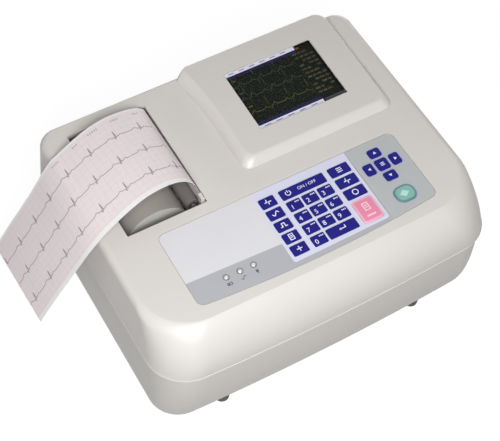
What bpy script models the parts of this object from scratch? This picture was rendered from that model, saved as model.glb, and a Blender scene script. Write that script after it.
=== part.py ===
# Three-channel electrocardiograph with a paper recorder, a colour screen and a membrane keypad.
# Metres, +Z up. The keys face -Y, the paper leaves the recorder at the left, towards -X.
# Places are measured from the middle of the case at the level the feet stand on; FRAME_SHIFT then
# moves everything so that the origin is the bottom centre of the whole object's box.
import math

import bmesh
import bpy
from mathutils import Vector

# Driving dimensions of the case
CASE_WIDTH = 0.2580
CASE_MIDDLE = 0.0030
CASE_FRONT = -0.1000
CASE_BACK = 0.1020
SEAM_HEIGHT = 0.0676
DECK_HEIGHT = 0.1062
DECK_SLOPE = 0.04
BASE_HEIGHT = 0.0055
WALL = 0.0025
GAP = 0.0003
CUT_OVERRUN = 0.0030

# Upper case
SIDE_FILLET = 0.0050
SIDE_LEAN = 0.0050
BACK_FILLET = 0.0015
FRONT_SWEEP = 0.0205
FRONT_BOW = 0.0025
TOP_BOW = 0.0008
FRONT_CORNER_RADIUS = 0.0290
CORNER_GROWTH = 0.0060
CORNER_TIGHTENING = 0.0070
BACK_CORNER_RADIUS = 0.0100
CORNER_STEPS = 7
FRONT_STEPS = 8
COVER_RISE_SHARES = (0, 0.35, 0.62, 0.8, 0.89, 0.94, 0.97, 0.99, 1)

# Lower case
SEAM_GAP = 0.0006
SEAM_STEP = 0.0012
SWEEP_SHARE = 0.90
CHIN_SWEEP = 0.0160
CHIN_HEIGHT = 0.0660
BASE_FILLET = 0.0025
TRAY_DROP_SHARES = (0, 0.25, 0.5, 0.7, 0.85, 0.93, 0.96, 0.98, 0.993, 1)

# Recorder well and paper
WELL_LEFT = -0.1024
WELL_RIGHT = -0.0435
WELL_FRONT = -0.0009
WELL_BACK = 0.0910
PAPER_WIDTH = 0.0800
PAPER_FRONT = 0.0080
PAPER_THICKNESS = 0.0004
PAPER_NIP_INSET = 0.0011
PAPER_ARCH = 0.0280
PAPER_OVERHANG = 0.0460
PAPER_DRIFT = 0.0130
PAPER_TAIL_DRIFT = 0.0020
DRIFT_POWER = 1.3
ROLL_RADIUS = 0.0245
ROLL_BORE_RADIUS = 0.0075
ROLL_X = -0.0770
ROLL_Z = 0.0805
SPINDLE_RADIUS = 0.0040
SPINDLE_HUB_RADIUS = 0.0072
SPINDLE_HUB_LENGTH = 0.0760
ROLL_STEPS = 48
PAPER_SUBSTEPS = 2
PAPER_COLUMNS = 3

# Each station over the case: its share of the way from the nip to the left wall, and the near and
# far edges' height above the deck as shares of the arch
OVER_CASE_SHARES = (
    (0.007, 0.06, 0.08),
    (0.040, 0.36, 0.19),
    (0.090, 0.60, 0.30),
    (0.180, 0.81, 0.42),
    (0.280, 0.93, 0.50),
    (0.375, 0.985, 0.555),
    (0.475, 1.00, 0.565),
    (0.573, 0.965, 0.54),
    (0.685, 0.88, 0.465),
    (0.790, 0.77, 0.365),
    (0.876, 0.665, 0.27),
    (0.950, 0.555, 0.185),
)
# The same past the left wall, as shares of the overhang
PAST_CASE_SHARES = (
    (0.100, 0.295, -0.150),
    (0.270, -0.020, -0.540),
    (0.480, -0.420, -0.960),
    (0.735, -0.920, -1.460),
    (1.000, -1.470, -2.000),
)

# Printing mechanism
PLATEN_RADIUS = 0.0050
PLATEN_SHAFT_RADIUS = 0.0020
PLATEN_Z = 0.0960
WEB_BEND_Z = 0.0900
FRAME_PLATE = 0.0020
FRAME_FLOOR_Z = 0.0520
FRAME_FRONT_RIGHT = -0.0310
FRAME_BACK_RIGHT = -0.0115
FRAME_TOP_CLEARANCE = 0.0008
FRAME_LEG = 0.0080
FRAME_LEG_INSET = 0.0010
NIP_GAP = 0.0003
BEARING_GAP = 0.00008
BEARING_STEPS = 24
HEAD_THICKNESS = 0.0015
HEAD_BOTTOM_Z = 0.0900
HEAD_TOP_Z = 0.1012
BRACKET_THICKNESS = 0.0030
BRACKET_BOTTOM_Z = 0.0765
BRACKET_TOP_Z = 0.1018
BRACKET_PIVOT_Z = 0.0790
BRACKET_PIVOT_RADIUS = 0.0020
BRACKET_RIB_DEPTH = 0.0030
BRACKET_RIB_WIDTH = 0.0020
BRACKET_RIBS = 6
LEVER_PIVOT_X = -0.0365
LEVER_PIVOT_Z = 0.0900
LEVER_PIN_RADIUS = 0.0015
LEVER_BOSS_RADIUS = 0.0038
LEVER_FRONT = 0.0006
LEVER_WIDTH = 0.0056
LEVER_ARM = 0.0026
LEVER_KNEE_X = -0.0385
LEVER_KNEE_Z = 0.0992
LEVER_ELBOW_X = -0.0458
LEVER_ELBOW_Z = 0.1016
LEVER_TAB_X = -0.0459
LEVER_TAB_Z = 0.1090

# Gear train
GEAR_MODULE = 0.0008
PLATEN_TEETH = 20
IDLER_TEETH = 18
PINION_TEETH = 12
PRESSURE_ANGLE = math.radians(25)
GEAR_BACKLASH = 0.00016
ADDENDUM_SHARE = 0.75
DEDENDUM_SHARE = 1.05
FLANK_STEPS = 1
GEAR_FRONT = 0.0940
GEAR_FACE = 0.0040
IDLER_DIRECTION = math.radians(-18.7)
PINION_DIRECTION = math.radians(-41.4)
IDLER_PIN_RADIUS = 0.0020
MOTOR_RADIUS = 0.0100
MOTOR_LENGTH = 0.0200
MOTOR_SHAFT_RADIUS = 0.0015
MOTOR_BOSS_RADIUS = 0.0040
MOTOR_BOSS_LENGTH = 0.0012
SHAFT_OVERHANG = 0.0006

# Screen
BLOCK_LEFT = -0.0095
BLOCK_RIGHT = 0.1105
BLOCK_FRONT = 0.0080
BLOCK_SLOPE_LEFT = 0.0070
BLOCK_SLOPE_RIGHT = 0.0045
BLOCK_SLOPE_FRONT = 0.0065
BLOCK_SLOPE_BACK = -0.0012
BLOCK_HEIGHT = 0.0057
BLOCK_TILT = 0.030
BLOCK_RADIUS = 0.0065
BLOCK_BACK_RADIUS = 0.0100
BLOCK_LEFT_RADIUS = 0.0030
BLOCK_FLARE = 0.0050
BLOCK_FLARE_START = 0.0500
BLOCK_FLARE_STEPS = 6
BLOCK_ROOF = 0.0013
BLOCK_WALL = 0.0060
SCREEN_X = 0.0502
SCREEN_Y = 0.0568
SCREEN_WIDTH = 0.0700
SCREEN_HEIGHT = 0.0534
PANE_MARGIN = 0.0022
PANE_THICKNESS = 0.0010
PANEL_WIDTH = 0.0769
PANEL_HEIGHT = 0.0639
PANEL_THICKNESS = 0.0030
PANEL_SHIFT = 0.0010
FLANGE_SHARES = ((0, 0), (0.30, 0.18), (0.58, 0.40), (0.80, 0.62), (0.94, 0.82), (1, 1))

# Keypad
OVERLAY_LEFT = -0.0861
OVERLAY_RIGHT = 0.0953
OVERLAY_BACK = -0.0098
OVERLAY_FRONT = -0.0690
OVERLAY_BOW = 0.0040
OVERLAY_RADIUS = 0.0050
OVERLAY_DEPTH = 0.0011
OVERLAY_THICKNESS = 0.0008
DIGIT_KEY_WIDTH = 0.0102
LEFT_KEY_WIDTH = 0.0114
KEY_DEPTH = 0.0080
KEY_PITCH_X = 0.0120
KEY_PITCH_Y = 0.01025
KEY_RADIUS = 0.0008
KEY_PROUD = 0.0004
KEY_TRAVEL = 0.0005
KEY_CHAMFER = 0.0003
KEY_LENGTH = 0.0024
KEY_GAP = 0.0003
KEY_CORNER_STEPS = 2
DIGIT_COLUMN_X = 0.0063
LEFT_COLUMN_GAP = 0.0042
RIGHT_COLUMN_GAP = 0.0040
RIGHT_KEY_WIDTH = 0.0154
TOP_ROW_Y = -0.0207
STOP_KEY_DEPTH = 0.0186
STOP_KEY_Y = -0.0569
STOP_KEY_RADIUS = 0.0022
ARROW_X = 0.0758
ARROW_Y = -0.0305
ARROW_STEP_X = 0.0104
ARROW_STEP_Y = 0.0104
ARROW_LENGTH = 0.0092
ARROW_BREADTH = 0.0072
ARROW_RADIUS = 0.0016
START_KEY_X = 0.0762
START_KEY_Y = -0.0578
START_KEY_WIDTH = 0.0152
START_KEY_DEPTH = 0.0128
START_KEY_RADIUS = 0.0054
WINDOW_MARGIN = 0.0004
BOARD_MARGIN = 0.0040
BOARD_THICKNESS = 0.0016
LAMP_XS = (-0.0610, -0.0510, -0.0410)
LAMP_Y = -0.0578
LAMP_RADIUS = 0.0014
LAMP_BAR_MARGIN = 0.0040
LAMP_BAR_THICKNESS = 0.0020
LAMP_STEPS = 16

# Electronics
STANDOFF_RADIUS = 0.0035
MAIN_BOARD_LEFT = -0.0280
MAIN_BOARD_RIGHT = 0.1060
MAIN_BOARD_FRONT = -0.0740
MAIN_BOARD_BACK = 0.0560
MAIN_BOARD_Z = 0.0580
MAIN_BOARD_INSET = 0.0060
CHIP_HEIGHT = 0.0020
CHIP_SIZE = 0.0180
SOCKET_HEIGHT = 0.0080
SOCKET_LENGTH = 0.0300
SOCKET_WIDTH = 0.0060
SUPPLY_LEFT = 0.0040
SUPPLY_RIGHT = 0.0960
SUPPLY_FRONT = -0.0520
SUPPLY_BACK = 0.0480
SUPPLY_Z = 0.0130
SUPPLY_INSET = 0.0050
TRANSFORMER_SIZE = 0.0340
TRANSFORMER_HEIGHT = 0.0260
CAPACITOR_RADIUS = 0.0070
CAPACITOR_HEIGHT = 0.0240
CAPACITOR_STEPS = 16
SINK_HEIGHT = 0.0280
SINK_WIDTH = 0.0040
BATTERY_LEFT = -0.0930
BATTERY_RIGHT = -0.0510
BATTERY_FRONT = 0.0120
BATTERY_BACK = 0.0780
BATTERY_TOP = 0.0460
BATTERY_RADIUS = 0.0030
DOOR_MARGIN = 0.0030
DOOR_RADIUS = 0.0040

# Rear power entry, earth post and patient lead socket
ENTRY_X = 0.0700
ENTRY_Z = 0.0360
ENTRY_WIDTH = 0.0480
ENTRY_HEIGHT = 0.0240
ENTRY_DEPTH = 0.0220
ENTRY_FLANGE = 0.0025
ENTRY_FLANGE_THICKNESS = 0.0015
INLET_OFFSET = -0.0095
INLET_WIDTH = 0.0245
INLET_HEIGHT = 0.0170
INLET_DEPTH = 0.0170
INLET_PIN_LENGTH = 0.0105
INLET_PIN_WIDTH = 0.0020
INLET_PIN_HEIGHT = 0.0040
INLET_PIN_SPREAD = 0.0070
INLET_PIN_RAISE = 0.0020
BAY_OFFSET = 0.0145
BAY_WIDTH = 0.0140
BAY_HEIGHT = 0.0206
BAY_DEPTH = 0.0110
ROCKER_WIDTH = 0.0134
ROCKER_HALF = 0.0092
ROCKER_PROUD = 0.0046
ROCKER_VALLEY = 0.0032
ROCKER_BACK = 0.0035
ROCKER_SHOULDER = 0.0015
ROCKER_BACK_SHARE = 0.91
ROCKER_PIVOT_DEPTH = 0.0042
ROCKER_REST = math.radians(8)
EARTH_X = 0.1060
EARTH_NUT_RADIUS = 0.0055
EARTH_NUT_THICKNESS = 0.0040
EARTH_STUD_RADIUS = 0.0028
EARTH_PROUD = 0.0060
EARTH_INNER = 0.0080
PORT_Y = -0.0300
PORT_Z = 0.0380
PORT_FLANGE_WIDTH = 0.0392
PORT_FLANGE_HEIGHT = 0.0125
PORT_FLANGE_THICKNESS = 0.0010
PORT_SHELL_WIDTH = 0.0250
PORT_SHELL_NARROW = 0.0214
PORT_SHELL_HEIGHT = 0.0084
PORT_PROUD = 0.0056
PORT_INNER = 0.0100
PORT_POST_RADIUS = 0.0026
PORT_POST_SPREAD = 0.0333
PORT_POST_LENGTH = 0.0050

# Feet
FOOT_X = 0.0783
FOOT_FRONT_Y = -0.0828
FOOT_BACK_Y = 0.0850
FOOT_RADIUS = 0.0052
FOOT_TOP_RADIUS = 0.0057
FOOT_BOSS_RADIUS = 0.0040
FOOT_STEPS = 20
ROUND_STEPS = 16

# Places worked out from the driving dimensions
HALF_WIDTH = CASE_WIDTH / 2
CASE_LEFT = CASE_MIDDLE - HALF_WIDTH
PAPER_REACH = PAPER_OVERHANG - CASE_LEFT
LEFT_COLUMN_X = DIGIT_COLUMN_X - (DIGIT_KEY_WIDTH + LEFT_KEY_WIDTH) / 2 - LEFT_COLUMN_GAP
LAST_DIGIT_X = DIGIT_COLUMN_X + 2 * KEY_PITCH_X
RIGHT_COLUMN_X = LAST_DIGIT_X + (DIGIT_KEY_WIDTH + RIGHT_KEY_WIDTH) / 2 + RIGHT_COLUMN_GAP
NIP_X = WELL_RIGHT - PAPER_NIP_INSET
PLATEN_X = NIP_X - PAPER_THICKNESS / 2 - NIP_GAP - PLATEN_RADIUS
HEAD_FACE_X = NIP_X + PAPER_THICKNESS / 2 + NIP_GAP
BRACKET_X = HEAD_FACE_X + HEAD_THICKNESS + GAP
FRAME_FRONT = WELL_FRONT - GAP
FRAME_BACK = WELL_BACK + GAP
FRAME_LEFT = WELL_LEFT - GAP
FLOOR_Z = BASE_HEIGHT + WALL
PLATEN_PITCH_RADIUS = GEAR_MODULE * PLATEN_TEETH / 2
IDLER_PITCH_RADIUS = GEAR_MODULE * IDLER_TEETH / 2
PINION_PITCH_RADIUS = GEAR_MODULE * PINION_TEETH / 2
IDLER_X = PLATEN_X + (PLATEN_PITCH_RADIUS + IDLER_PITCH_RADIUS) * math.cos(IDLER_DIRECTION)
IDLER_Z = PLATEN_Z + (PLATEN_PITCH_RADIUS + IDLER_PITCH_RADIUS) * math.sin(IDLER_DIRECTION)
PINION_X = IDLER_X + (IDLER_PITCH_RADIUS + PINION_PITCH_RADIUS) * math.cos(PINION_DIRECTION)
PINION_Z = IDLER_Z + (IDLER_PITCH_RADIUS + PINION_PITCH_RADIUS) * math.sin(PINION_DIRECTION)
LOWER_BACK = CASE_BACK - SEAM_STEP
LOWER_SIDE = HALF_WIDTH - SEAM_STEP
LOWER_RIGHT = CASE_MIDDLE + LOWER_SIDE
PORT_REACH = LOWER_RIGHT + GAP + PORT_FLANGE_THICKNESS + PORT_PROUD
EARTH_REACH = LOWER_BACK + GAP + EARTH_NUT_THICKNESS + EARTH_PROUD
FRAME_SHIFT = Vector(((PAPER_REACH - PORT_REACH) / 2, -(CASE_FRONT + EARTH_REACH) / 2, 0))
DECK_ANGLE = math.atan(DECK_SLOPE)
BLOCK_ANGLE = math.atan(BLOCK_TILT)


def clear_scene():
    for old in list(bpy.data.objects):
        bpy.data.objects.remove(old, do_unlink=True)


def finish(name, colour, roughness, metallic=0.0):
    made = bpy.data.materials.new(name)
    made.use_nodes = True
    shader = made.node_tree.nodes["Principled BSDF"]
    shader.inputs["Base Color"].default_value = (*colour, 1)
    shader.inputs["Roughness"].default_value = roughness
    shader.inputs["Metallic"].default_value = metallic
    return made


def deck_z(y):
    return DECK_HEIGHT + DECK_SLOPE * y


def empty(name, parent, location=(0, 0, 0), rotation=(0, 0, 0)):
    made = bpy.data.objects.new(name, None)
    bpy.context.collection.objects.link(made)
    made.parent = parent
    made.location = location
    made.rotation_euler = rotation
    return made


def put(name, mesh, parent, look, location=(0, 0, 0), rotation=(0, 0, 0), sharp=35):
    mesh.materials.append(look)
    mesh.shade_smooth()
    mesh.set_sharp_from_angle(angle=math.radians(sharp))
    made = bpy.data.objects.new(name, mesh)
    bpy.context.collection.objects.link(made)
    made.parent = parent
    made.location = location
    made.rotation_euler = rotation
    return made


def guide(name, mesh, parent, location=(0, 0, 0), rotation=(0, 0, 0)):
    made = bpy.data.objects.new(name, mesh)
    bpy.context.collection.objects.link(made)
    made.parent = parent
    made.location = location
    made.rotation_euler = rotation
    made.hide_render = True
    made.display_type = "WIRE"
    return made


def boolean(target, cutter, operation="DIFFERENCE"):
    step = target.modifiers.new(cutter.name, "BOOLEAN")
    step.object = cutter
    step.operation = operation
    step.solver = "EXACT"


def loft(name, rings):
    """A closed body through rings of equal point counts, with a flat face on each end."""
    mesh = bpy.data.meshes.new(name)
    body = bmesh.new()
    made = [[body.verts.new(p) for p in ring] for ring in rings]
    for low, high in zip(made, made[1:]):
        for i in range(len(low)):
            j = (i + 1) % len(low)
            body.faces.new((low[i], low[j], high[j], high[i]))
    body.faces.new(list(reversed(made[0])))
    body.faces.new(made[-1])
    bmesh.ops.recalc_face_normals(body, faces=body.faces)
    body.to_mesh(mesh)
    body.free()
    return mesh


def tube(name, rings):
    """A closed ring-shaped body: the last ring joins the first again."""
    mesh = bpy.data.meshes.new(name)
    body = bmesh.new()
    made = [[body.verts.new(p) for p in ring] for ring in rings]
    for low, high in zip(made, made[1:] + made[:1]):
        for i in range(len(low)):
            j = (i + 1) % len(low)
            body.faces.new((low[i], low[j], high[j], high[i]))
    bmesh.ops.recalc_face_normals(body, faces=body.faces)
    body.to_mesh(mesh)
    body.free()
    return mesh


def merge(name, meshes):
    """Several closed bodies in one mesh, for a cutter or for the parts of a union."""
    body = bmesh.new()
    for one in meshes:
        body.from_mesh(one)
    mesh = bpy.data.meshes.new(name)
    body.to_mesh(mesh)
    body.free()
    return mesh


def arc(cx, cy, radius, start, end, steps):
    turn = (end - start) / steps
    angles = [start + turn * i for i in range(steps + 1)]
    return [(cx + radius * math.cos(a), cy + radius * math.sin(a)) for a in angles]


def rounded(x0, x1, y0, y1, front_radius, back_radius=None, steps=CORNER_STEPS, bow=0.0, front_steps=1):
    """A rectangle's outline with round corners, counter-clockwise from the front left corner.

    The front edge bows out by bow between the corners."""
    back_radius = front_radius if back_radius is None else back_radius
    quarter = math.pi / 2
    left = x0 + front_radius
    right = x1 - front_radius
    corner_y = y0 + bow + front_radius
    middle = (left + right) / 2
    half = (right - left) / 2
    points = arc(left, corner_y, front_radius, 2 * quarter, 3 * quarter, steps)
    for i in range(1, front_steps):
        x = left + (right - left) * i / front_steps
        points.append((x, y0 + bow * ((x - middle) / half) ** 2))
    points += arc(right, corner_y, front_radius, 3 * quarter, 4 * quarter, steps)
    points += arc(x1 - back_radius, y1 - back_radius, back_radius, 0, quarter, steps)
    points += arc(x0 + back_radius, y1 - back_radius, back_radius, quarter, 2 * quarter, steps)
    return points


def prism(name, outline, low, high):
    return loft(name, [[(x, y, low) for x, y in outline], [(x, y, high) for x, y in outline]])


def box(name, x0, x1, y0, y1, z0, z1):
    return prism(name, ((x0, y0), (x1, y0), (x1, y1), (x0, y1)), z0, z1)


def circle(radius, steps, phase=0.0):
    angles = [phase + 2 * math.pi * i / steps for i in range(steps)]
    return [(radius * math.cos(a), radius * math.sin(a)) for a in angles]


def rod(name, x, z, radius, y0, y1, steps=ROUND_STEPS):
    """A round bar along Y."""
    rings = [[(x + u, y, z + v) for u, v in circle(radius, steps)] for y in (y0, y1)]
    return loft(name, rings)


def post(name, x, y, radius, z0, z1, steps=ROUND_STEPS):
    rings = [[(x + u, y + v, z) for u, v in circle(radius, steps)] for z in (z0, z1)]
    return loft(name, rings)


def sleeve(name, radius, bore, y0, y1, steps):
    """A hollow round body along Y, about its own axis."""
    outer = [[(u, y, v) for u, v in circle(radius, steps)] for y in (y0, y1)]
    inner = [[(u, y, v) for u, v in circle(bore, steps)] for y in (y1, y0)]
    return tube(name, outer + inner)


def cover_ring(share, inset, top_drop):
    """The upper case's outline at a share of the height from the seam to the deck."""
    height = DECK_HEIGHT - SEAM_HEIGHT
    side_start = 1 - SIDE_FILLET / height
    back_start = 1 - BACK_FILLET / height
    side_run = max(0, (share - side_start) / (1 - side_start))
    back_run = max(0, (share - back_start) / (1 - back_start))
    side = HALF_WIDTH - SIDE_LEAN * share - SIDE_FILLET * (1 - math.sqrt(max(0, 1 - side_run**2))) - inset
    back = CASE_BACK - BACK_FILLET * (1 - math.sqrt(max(0, 1 - back_run**2))) - inset
    sweep = (1 - math.sqrt(1 - (SWEEP_SHARE * share) ** 2)) / (1 - math.sqrt(1 - SWEEP_SHARE**2))
    front = CASE_FRONT + FRONT_SWEEP * sweep + inset
    bow = FRONT_BOW + (TOP_BOW - FRONT_BOW) * share
    outline = rounded(
        CASE_MIDDLE - side, CASE_MIDDLE + side, front, back, FRONT_CORNER_RADIUS + CORNER_GROWTH * share - inset,
        BACK_CORNER_RADIUS - inset, CORNER_STEPS, bow, FRONT_STEPS,
    )
    return [(x, y, SEAM_HEIGHT + share * (deck_z(y) - top_drop - SEAM_HEIGHT)) for x, y in outline]


def tray_ring(share, inset, base_rise):
    """The lower case's outline at a share of the drop from the seam to the base."""
    top = SEAM_HEIGHT - SEAM_GAP
    drop = share * (top - BASE_HEIGHT - base_rise)
    z = top - drop
    chin = CHIN_SWEEP * (1 - math.sqrt(1 - (drop / CHIN_HEIGHT) ** 2))
    low = max(0, (BASE_HEIGHT + base_rise + BASE_FILLET - z) / BASE_FILLET)
    edge = BASE_FILLET * (1 - math.sqrt(max(0, 1 - min(1, low) ** 2)))
    side = LOWER_SIDE - inset - edge
    front = CASE_FRONT + SEAM_STEP + chin + inset + edge
    outline = rounded(
        CASE_MIDDLE - side, CASE_MIDDLE + side, front, LOWER_BACK - inset - edge,
        FRONT_CORNER_RADIUS - CORNER_TIGHTENING * share - inset - edge, BACK_CORNER_RADIUS - inset - edge,
        CORNER_STEPS, FRONT_BOW, FRONT_STEPS,
    )
    return [(x, y, z) for x, y in outline]


def overlay_outline(grow):
    return rounded(
        OVERLAY_LEFT - grow, OVERLAY_RIGHT + grow, OVERLAY_FRONT - OVERLAY_BOW - grow, OVERLAY_BACK + grow,
        OVERLAY_RADIUS + grow, OVERLAY_RADIUS + grow, 4, OVERLAY_BOW, FRONT_STEPS,
    )


def key_table():
    """Every key: name, place on the deck, width, depth, corner radius."""
    rows = [TOP_ROW_Y - KEY_PITCH_Y * i for i in range(5)]
    columns = [DIGIT_COLUMN_X + KEY_PITCH_X * i for i in range(3)]
    keys = []
    for i, y in enumerate(rows):
        keys.append((f"key_left_{i + 1}", LEFT_COLUMN_X, y, LEFT_KEY_WIDTH, KEY_DEPTH, KEY_RADIUS))
    wide = 2 * KEY_PITCH_X + DIGIT_KEY_WIDTH
    keys.append(("key_wide_top", columns[1], rows[0], wide, KEY_DEPTH, KEY_RADIUS))
    for i in range(9):
        x = columns[i % 3]
        keys.append((f"key_digit_{i + 1}", x, rows[1 + i // 3], DIGIT_KEY_WIDTH, KEY_DEPTH, KEY_RADIUS))
    keys.append(("key_digit_0", columns[0], rows[4], DIGIT_KEY_WIDTH, KEY_DEPTH, KEY_RADIUS))
    pair = KEY_PITCH_X + DIGIT_KEY_WIDTH
    keys.append(("key_wide_bottom", (columns[1] + columns[2]) / 2, rows[4], pair, KEY_DEPTH, KEY_RADIUS))
    for i in range(3):
        name = f"key_right_{i + 1}"
        keys.append((name, RIGHT_COLUMN_X, rows[i], RIGHT_KEY_WIDTH, KEY_DEPTH, KEY_RADIUS))
    keys.append(("key_stop", RIGHT_COLUMN_X, STOP_KEY_Y, RIGHT_KEY_WIDTH, STOP_KEY_DEPTH, STOP_KEY_RADIUS))
    for name, across, along in (("up", 0, 1), ("left", -1, 0), ("centre", 0, 0), ("right", 1, 0), ("down", 0, -1)):
        x = ARROW_X + across * ARROW_STEP_X
        y = ARROW_Y + along * ARROW_STEP_Y
        width = ARROW_BREADTH if across else ARROW_LENGTH
        depth = ARROW_BREADTH if along else ARROW_LENGTH
        keys.append((f"key_arrow_{name}", x, y, width, depth, ARROW_RADIUS))
    keys.append(("key_start", START_KEY_X, START_KEY_Y, START_KEY_WIDTH, START_KEY_DEPTH, START_KEY_RADIUS))
    return keys


def key_outline(x, y, width, depth, radius, grow):
    half_x = width / 2 + grow
    half_y = depth / 2 + grow
    steps = KEY_CORNER_STEPS if radius < STOP_KEY_RADIUS else 2 * KEY_CORNER_STEPS
    return rounded(x - half_x, x + half_x, y - half_y, y + half_y, max(radius + grow, radius / 2), steps=steps)


def window_table():
    """The openings under the keys: one for each row of the digit block, one for each other key."""
    keys = [key for key in key_table() if "digit" not in key[0] and key[0] != "key_wide_bottom"]
    wide = 2 * KEY_PITCH_X + DIGIT_KEY_WIDTH
    for i in range(1, 5):
        y = TOP_ROW_Y - KEY_PITCH_Y * i
        keys.append((f"row_{i}", DIGIT_COLUMN_X + KEY_PITCH_X, y, wide, KEY_DEPTH, KEY_RADIUS))
    return keys


def key_cutters(name, table, grow, low, high):
    return merge(name, [prism(n, key_outline(x, y, w, d, r, grow), low, high) for n, x, y, w, d, r in table])


def lamp_cutters(name, radius, low, high):
    return merge(name, [post(name, x, LAMP_Y, radius, low, high, LAMP_STEPS) for x in LAMP_XS])


def build_upper_case(root, deck):
    look = finish("cover_plastic", (0.62, 0.60, 0.56), 0.42)
    inner = [cover_ring(s, WALL, WALL) for s in reversed(COVER_RISE_SHARES)]
    outer = [cover_ring(s, 0, 0) for s in COVER_RISE_SHARES]
    cover = put("top_cover", loft("top_cover", inner + outer), root, look)
    low = DECK_HEIGHT - WALL - 2 * CUT_OVERRUN
    high = DECK_HEIGHT + WALL + 2 * CUT_OVERRUN
    well = box("well_cutter", WELL_LEFT, WELL_RIGHT, WELL_FRONT, WELL_BACK, low, high)
    boolean(cover, guide("well_cutter", well, root))
    pocket = prism("pocket_cutter", overlay_outline(GAP), -OVERLAY_DEPTH, CUT_OVERRUN)
    boolean(cover, guide("pocket_cutter", pocket, deck))
    windows = merge("window_cutter", [
        key_cutters("key_windows", window_table(), WINDOW_MARGIN, -WALL - CUT_OVERRUN, CUT_OVERRUN),
        lamp_cutters("lamp_windows", LAMP_RADIUS + GAP, -WALL - CUT_OVERRUN, CUT_OVERRUN),
    ])
    boolean(cover, guide("window_cutter", windows, deck))


def build_lower_case(root):
    look = finish("tray_plastic", (0.60, 0.58, 0.54), 0.45)
    outer = [tray_ring(s, 0, 0) for s in TRAY_DROP_SHARES]
    inner = [tray_ring(s, WALL, WALL) for s in reversed(TRAY_DROP_SHARES)]
    tray = put("bottom_case", loft("bottom_case", inner + outer), root, look)
    posts = []
    for x in (-FOOT_X, FOOT_X):
        for y in (FOOT_FRONT_Y, FOOT_BACK_Y):
            posts.append(post("foot_boss", x, y, FOOT_BOSS_RADIUS, FLOOR_Z - WALL / 2, FLOOR_Z + WALL))
    for x in (MAIN_BOARD_LEFT + MAIN_BOARD_INSET, MAIN_BOARD_RIGHT - MAIN_BOARD_INSET):
        for y in (MAIN_BOARD_FRONT + MAIN_BOARD_INSET, MAIN_BOARD_BACK - MAIN_BOARD_INSET):
            posts.append(post("board_post", x, y, STANDOFF_RADIUS, FLOOR_Z - WALL / 2, MAIN_BOARD_Z - GAP))
    for x in (SUPPLY_LEFT + SUPPLY_INSET, SUPPLY_RIGHT - SUPPLY_INSET):
        for y in (SUPPLY_FRONT + SUPPLY_INSET, SUPPLY_BACK - SUPPLY_INSET):
            posts.append(post("supply_post", x, y, STANDOFF_RADIUS, FLOOR_Z - WALL / 2, SUPPLY_Z - GAP))
    boolean(tray, guide("case_posts", merge("case_posts", posts), root), "UNION")
    half_entry = ENTRY_WIDTH / 2 + GAP
    half_rise = ENTRY_HEIGHT / 2 + GAP
    entry = box(
        "entry_cutter", ENTRY_X - half_entry, ENTRY_X + half_entry, LOWER_BACK - WALL - CUT_OVERRUN,
        LOWER_BACK + CUT_OVERRUN, ENTRY_Z - half_rise, ENTRY_Z + half_rise,
    )
    earth = rod("earth_cutter", EARTH_X, ENTRY_Z, EARTH_STUD_RADIUS + GAP,
                LOWER_BACK - WALL - CUT_OVERRUN, LOWER_BACK + CUT_OVERRUN)
    half_port = PORT_SHELL_WIDTH / 2 + GAP
    half_shell = PORT_SHELL_HEIGHT / 2 + GAP
    port = box(
        "port_cutter", LOWER_RIGHT - WALL - CUT_OVERRUN, LOWER_RIGHT + CUT_OVERRUN, PORT_Y - half_port,
        PORT_Y + half_port, PORT_Z - half_shell, PORT_Z + half_shell,
    )
    hatch = prism("hatch_cutter", door_outline(GAP), BASE_HEIGHT - CUT_OVERRUN, FLOOR_Z + CUT_OVERRUN)
    boolean(tray, guide("case_cutter", merge("case_cutter", [entry, earth, port, hatch]), root))


def door_outline(grow):
    return rounded(
        BATTERY_LEFT - DOOR_MARGIN - grow, BATTERY_RIGHT + DOOR_MARGIN + grow,
        BATTERY_FRONT - DOOR_MARGIN - grow, BATTERY_BACK + DOOR_MARGIN + grow, DOOR_RADIUS, steps=3,
    )


def build_feet(root):
    look = finish("foot_rubber", (0.09, 0.09, 0.09), 0.85)
    top = BASE_HEIGHT - GAP
    for name, x, y in (
        ("foot_front_left", -FOOT_X, FOOT_FRONT_Y),
        ("foot_front_right", FOOT_X, FOOT_FRONT_Y),
        ("foot_back_left", -FOOT_X, FOOT_BACK_Y),
        ("foot_back_right", FOOT_X, FOOT_BACK_Y),
    ):
        rings = [
            [(u, v, 0) for u, v in circle(FOOT_RADIUS, FOOT_STEPS)],
            [(u, v, top) for u, v in circle(FOOT_TOP_RADIUS, FOOT_STEPS)],
        ]
        put(name, loft(name, rings), root, look, (x, y, 0))


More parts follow.
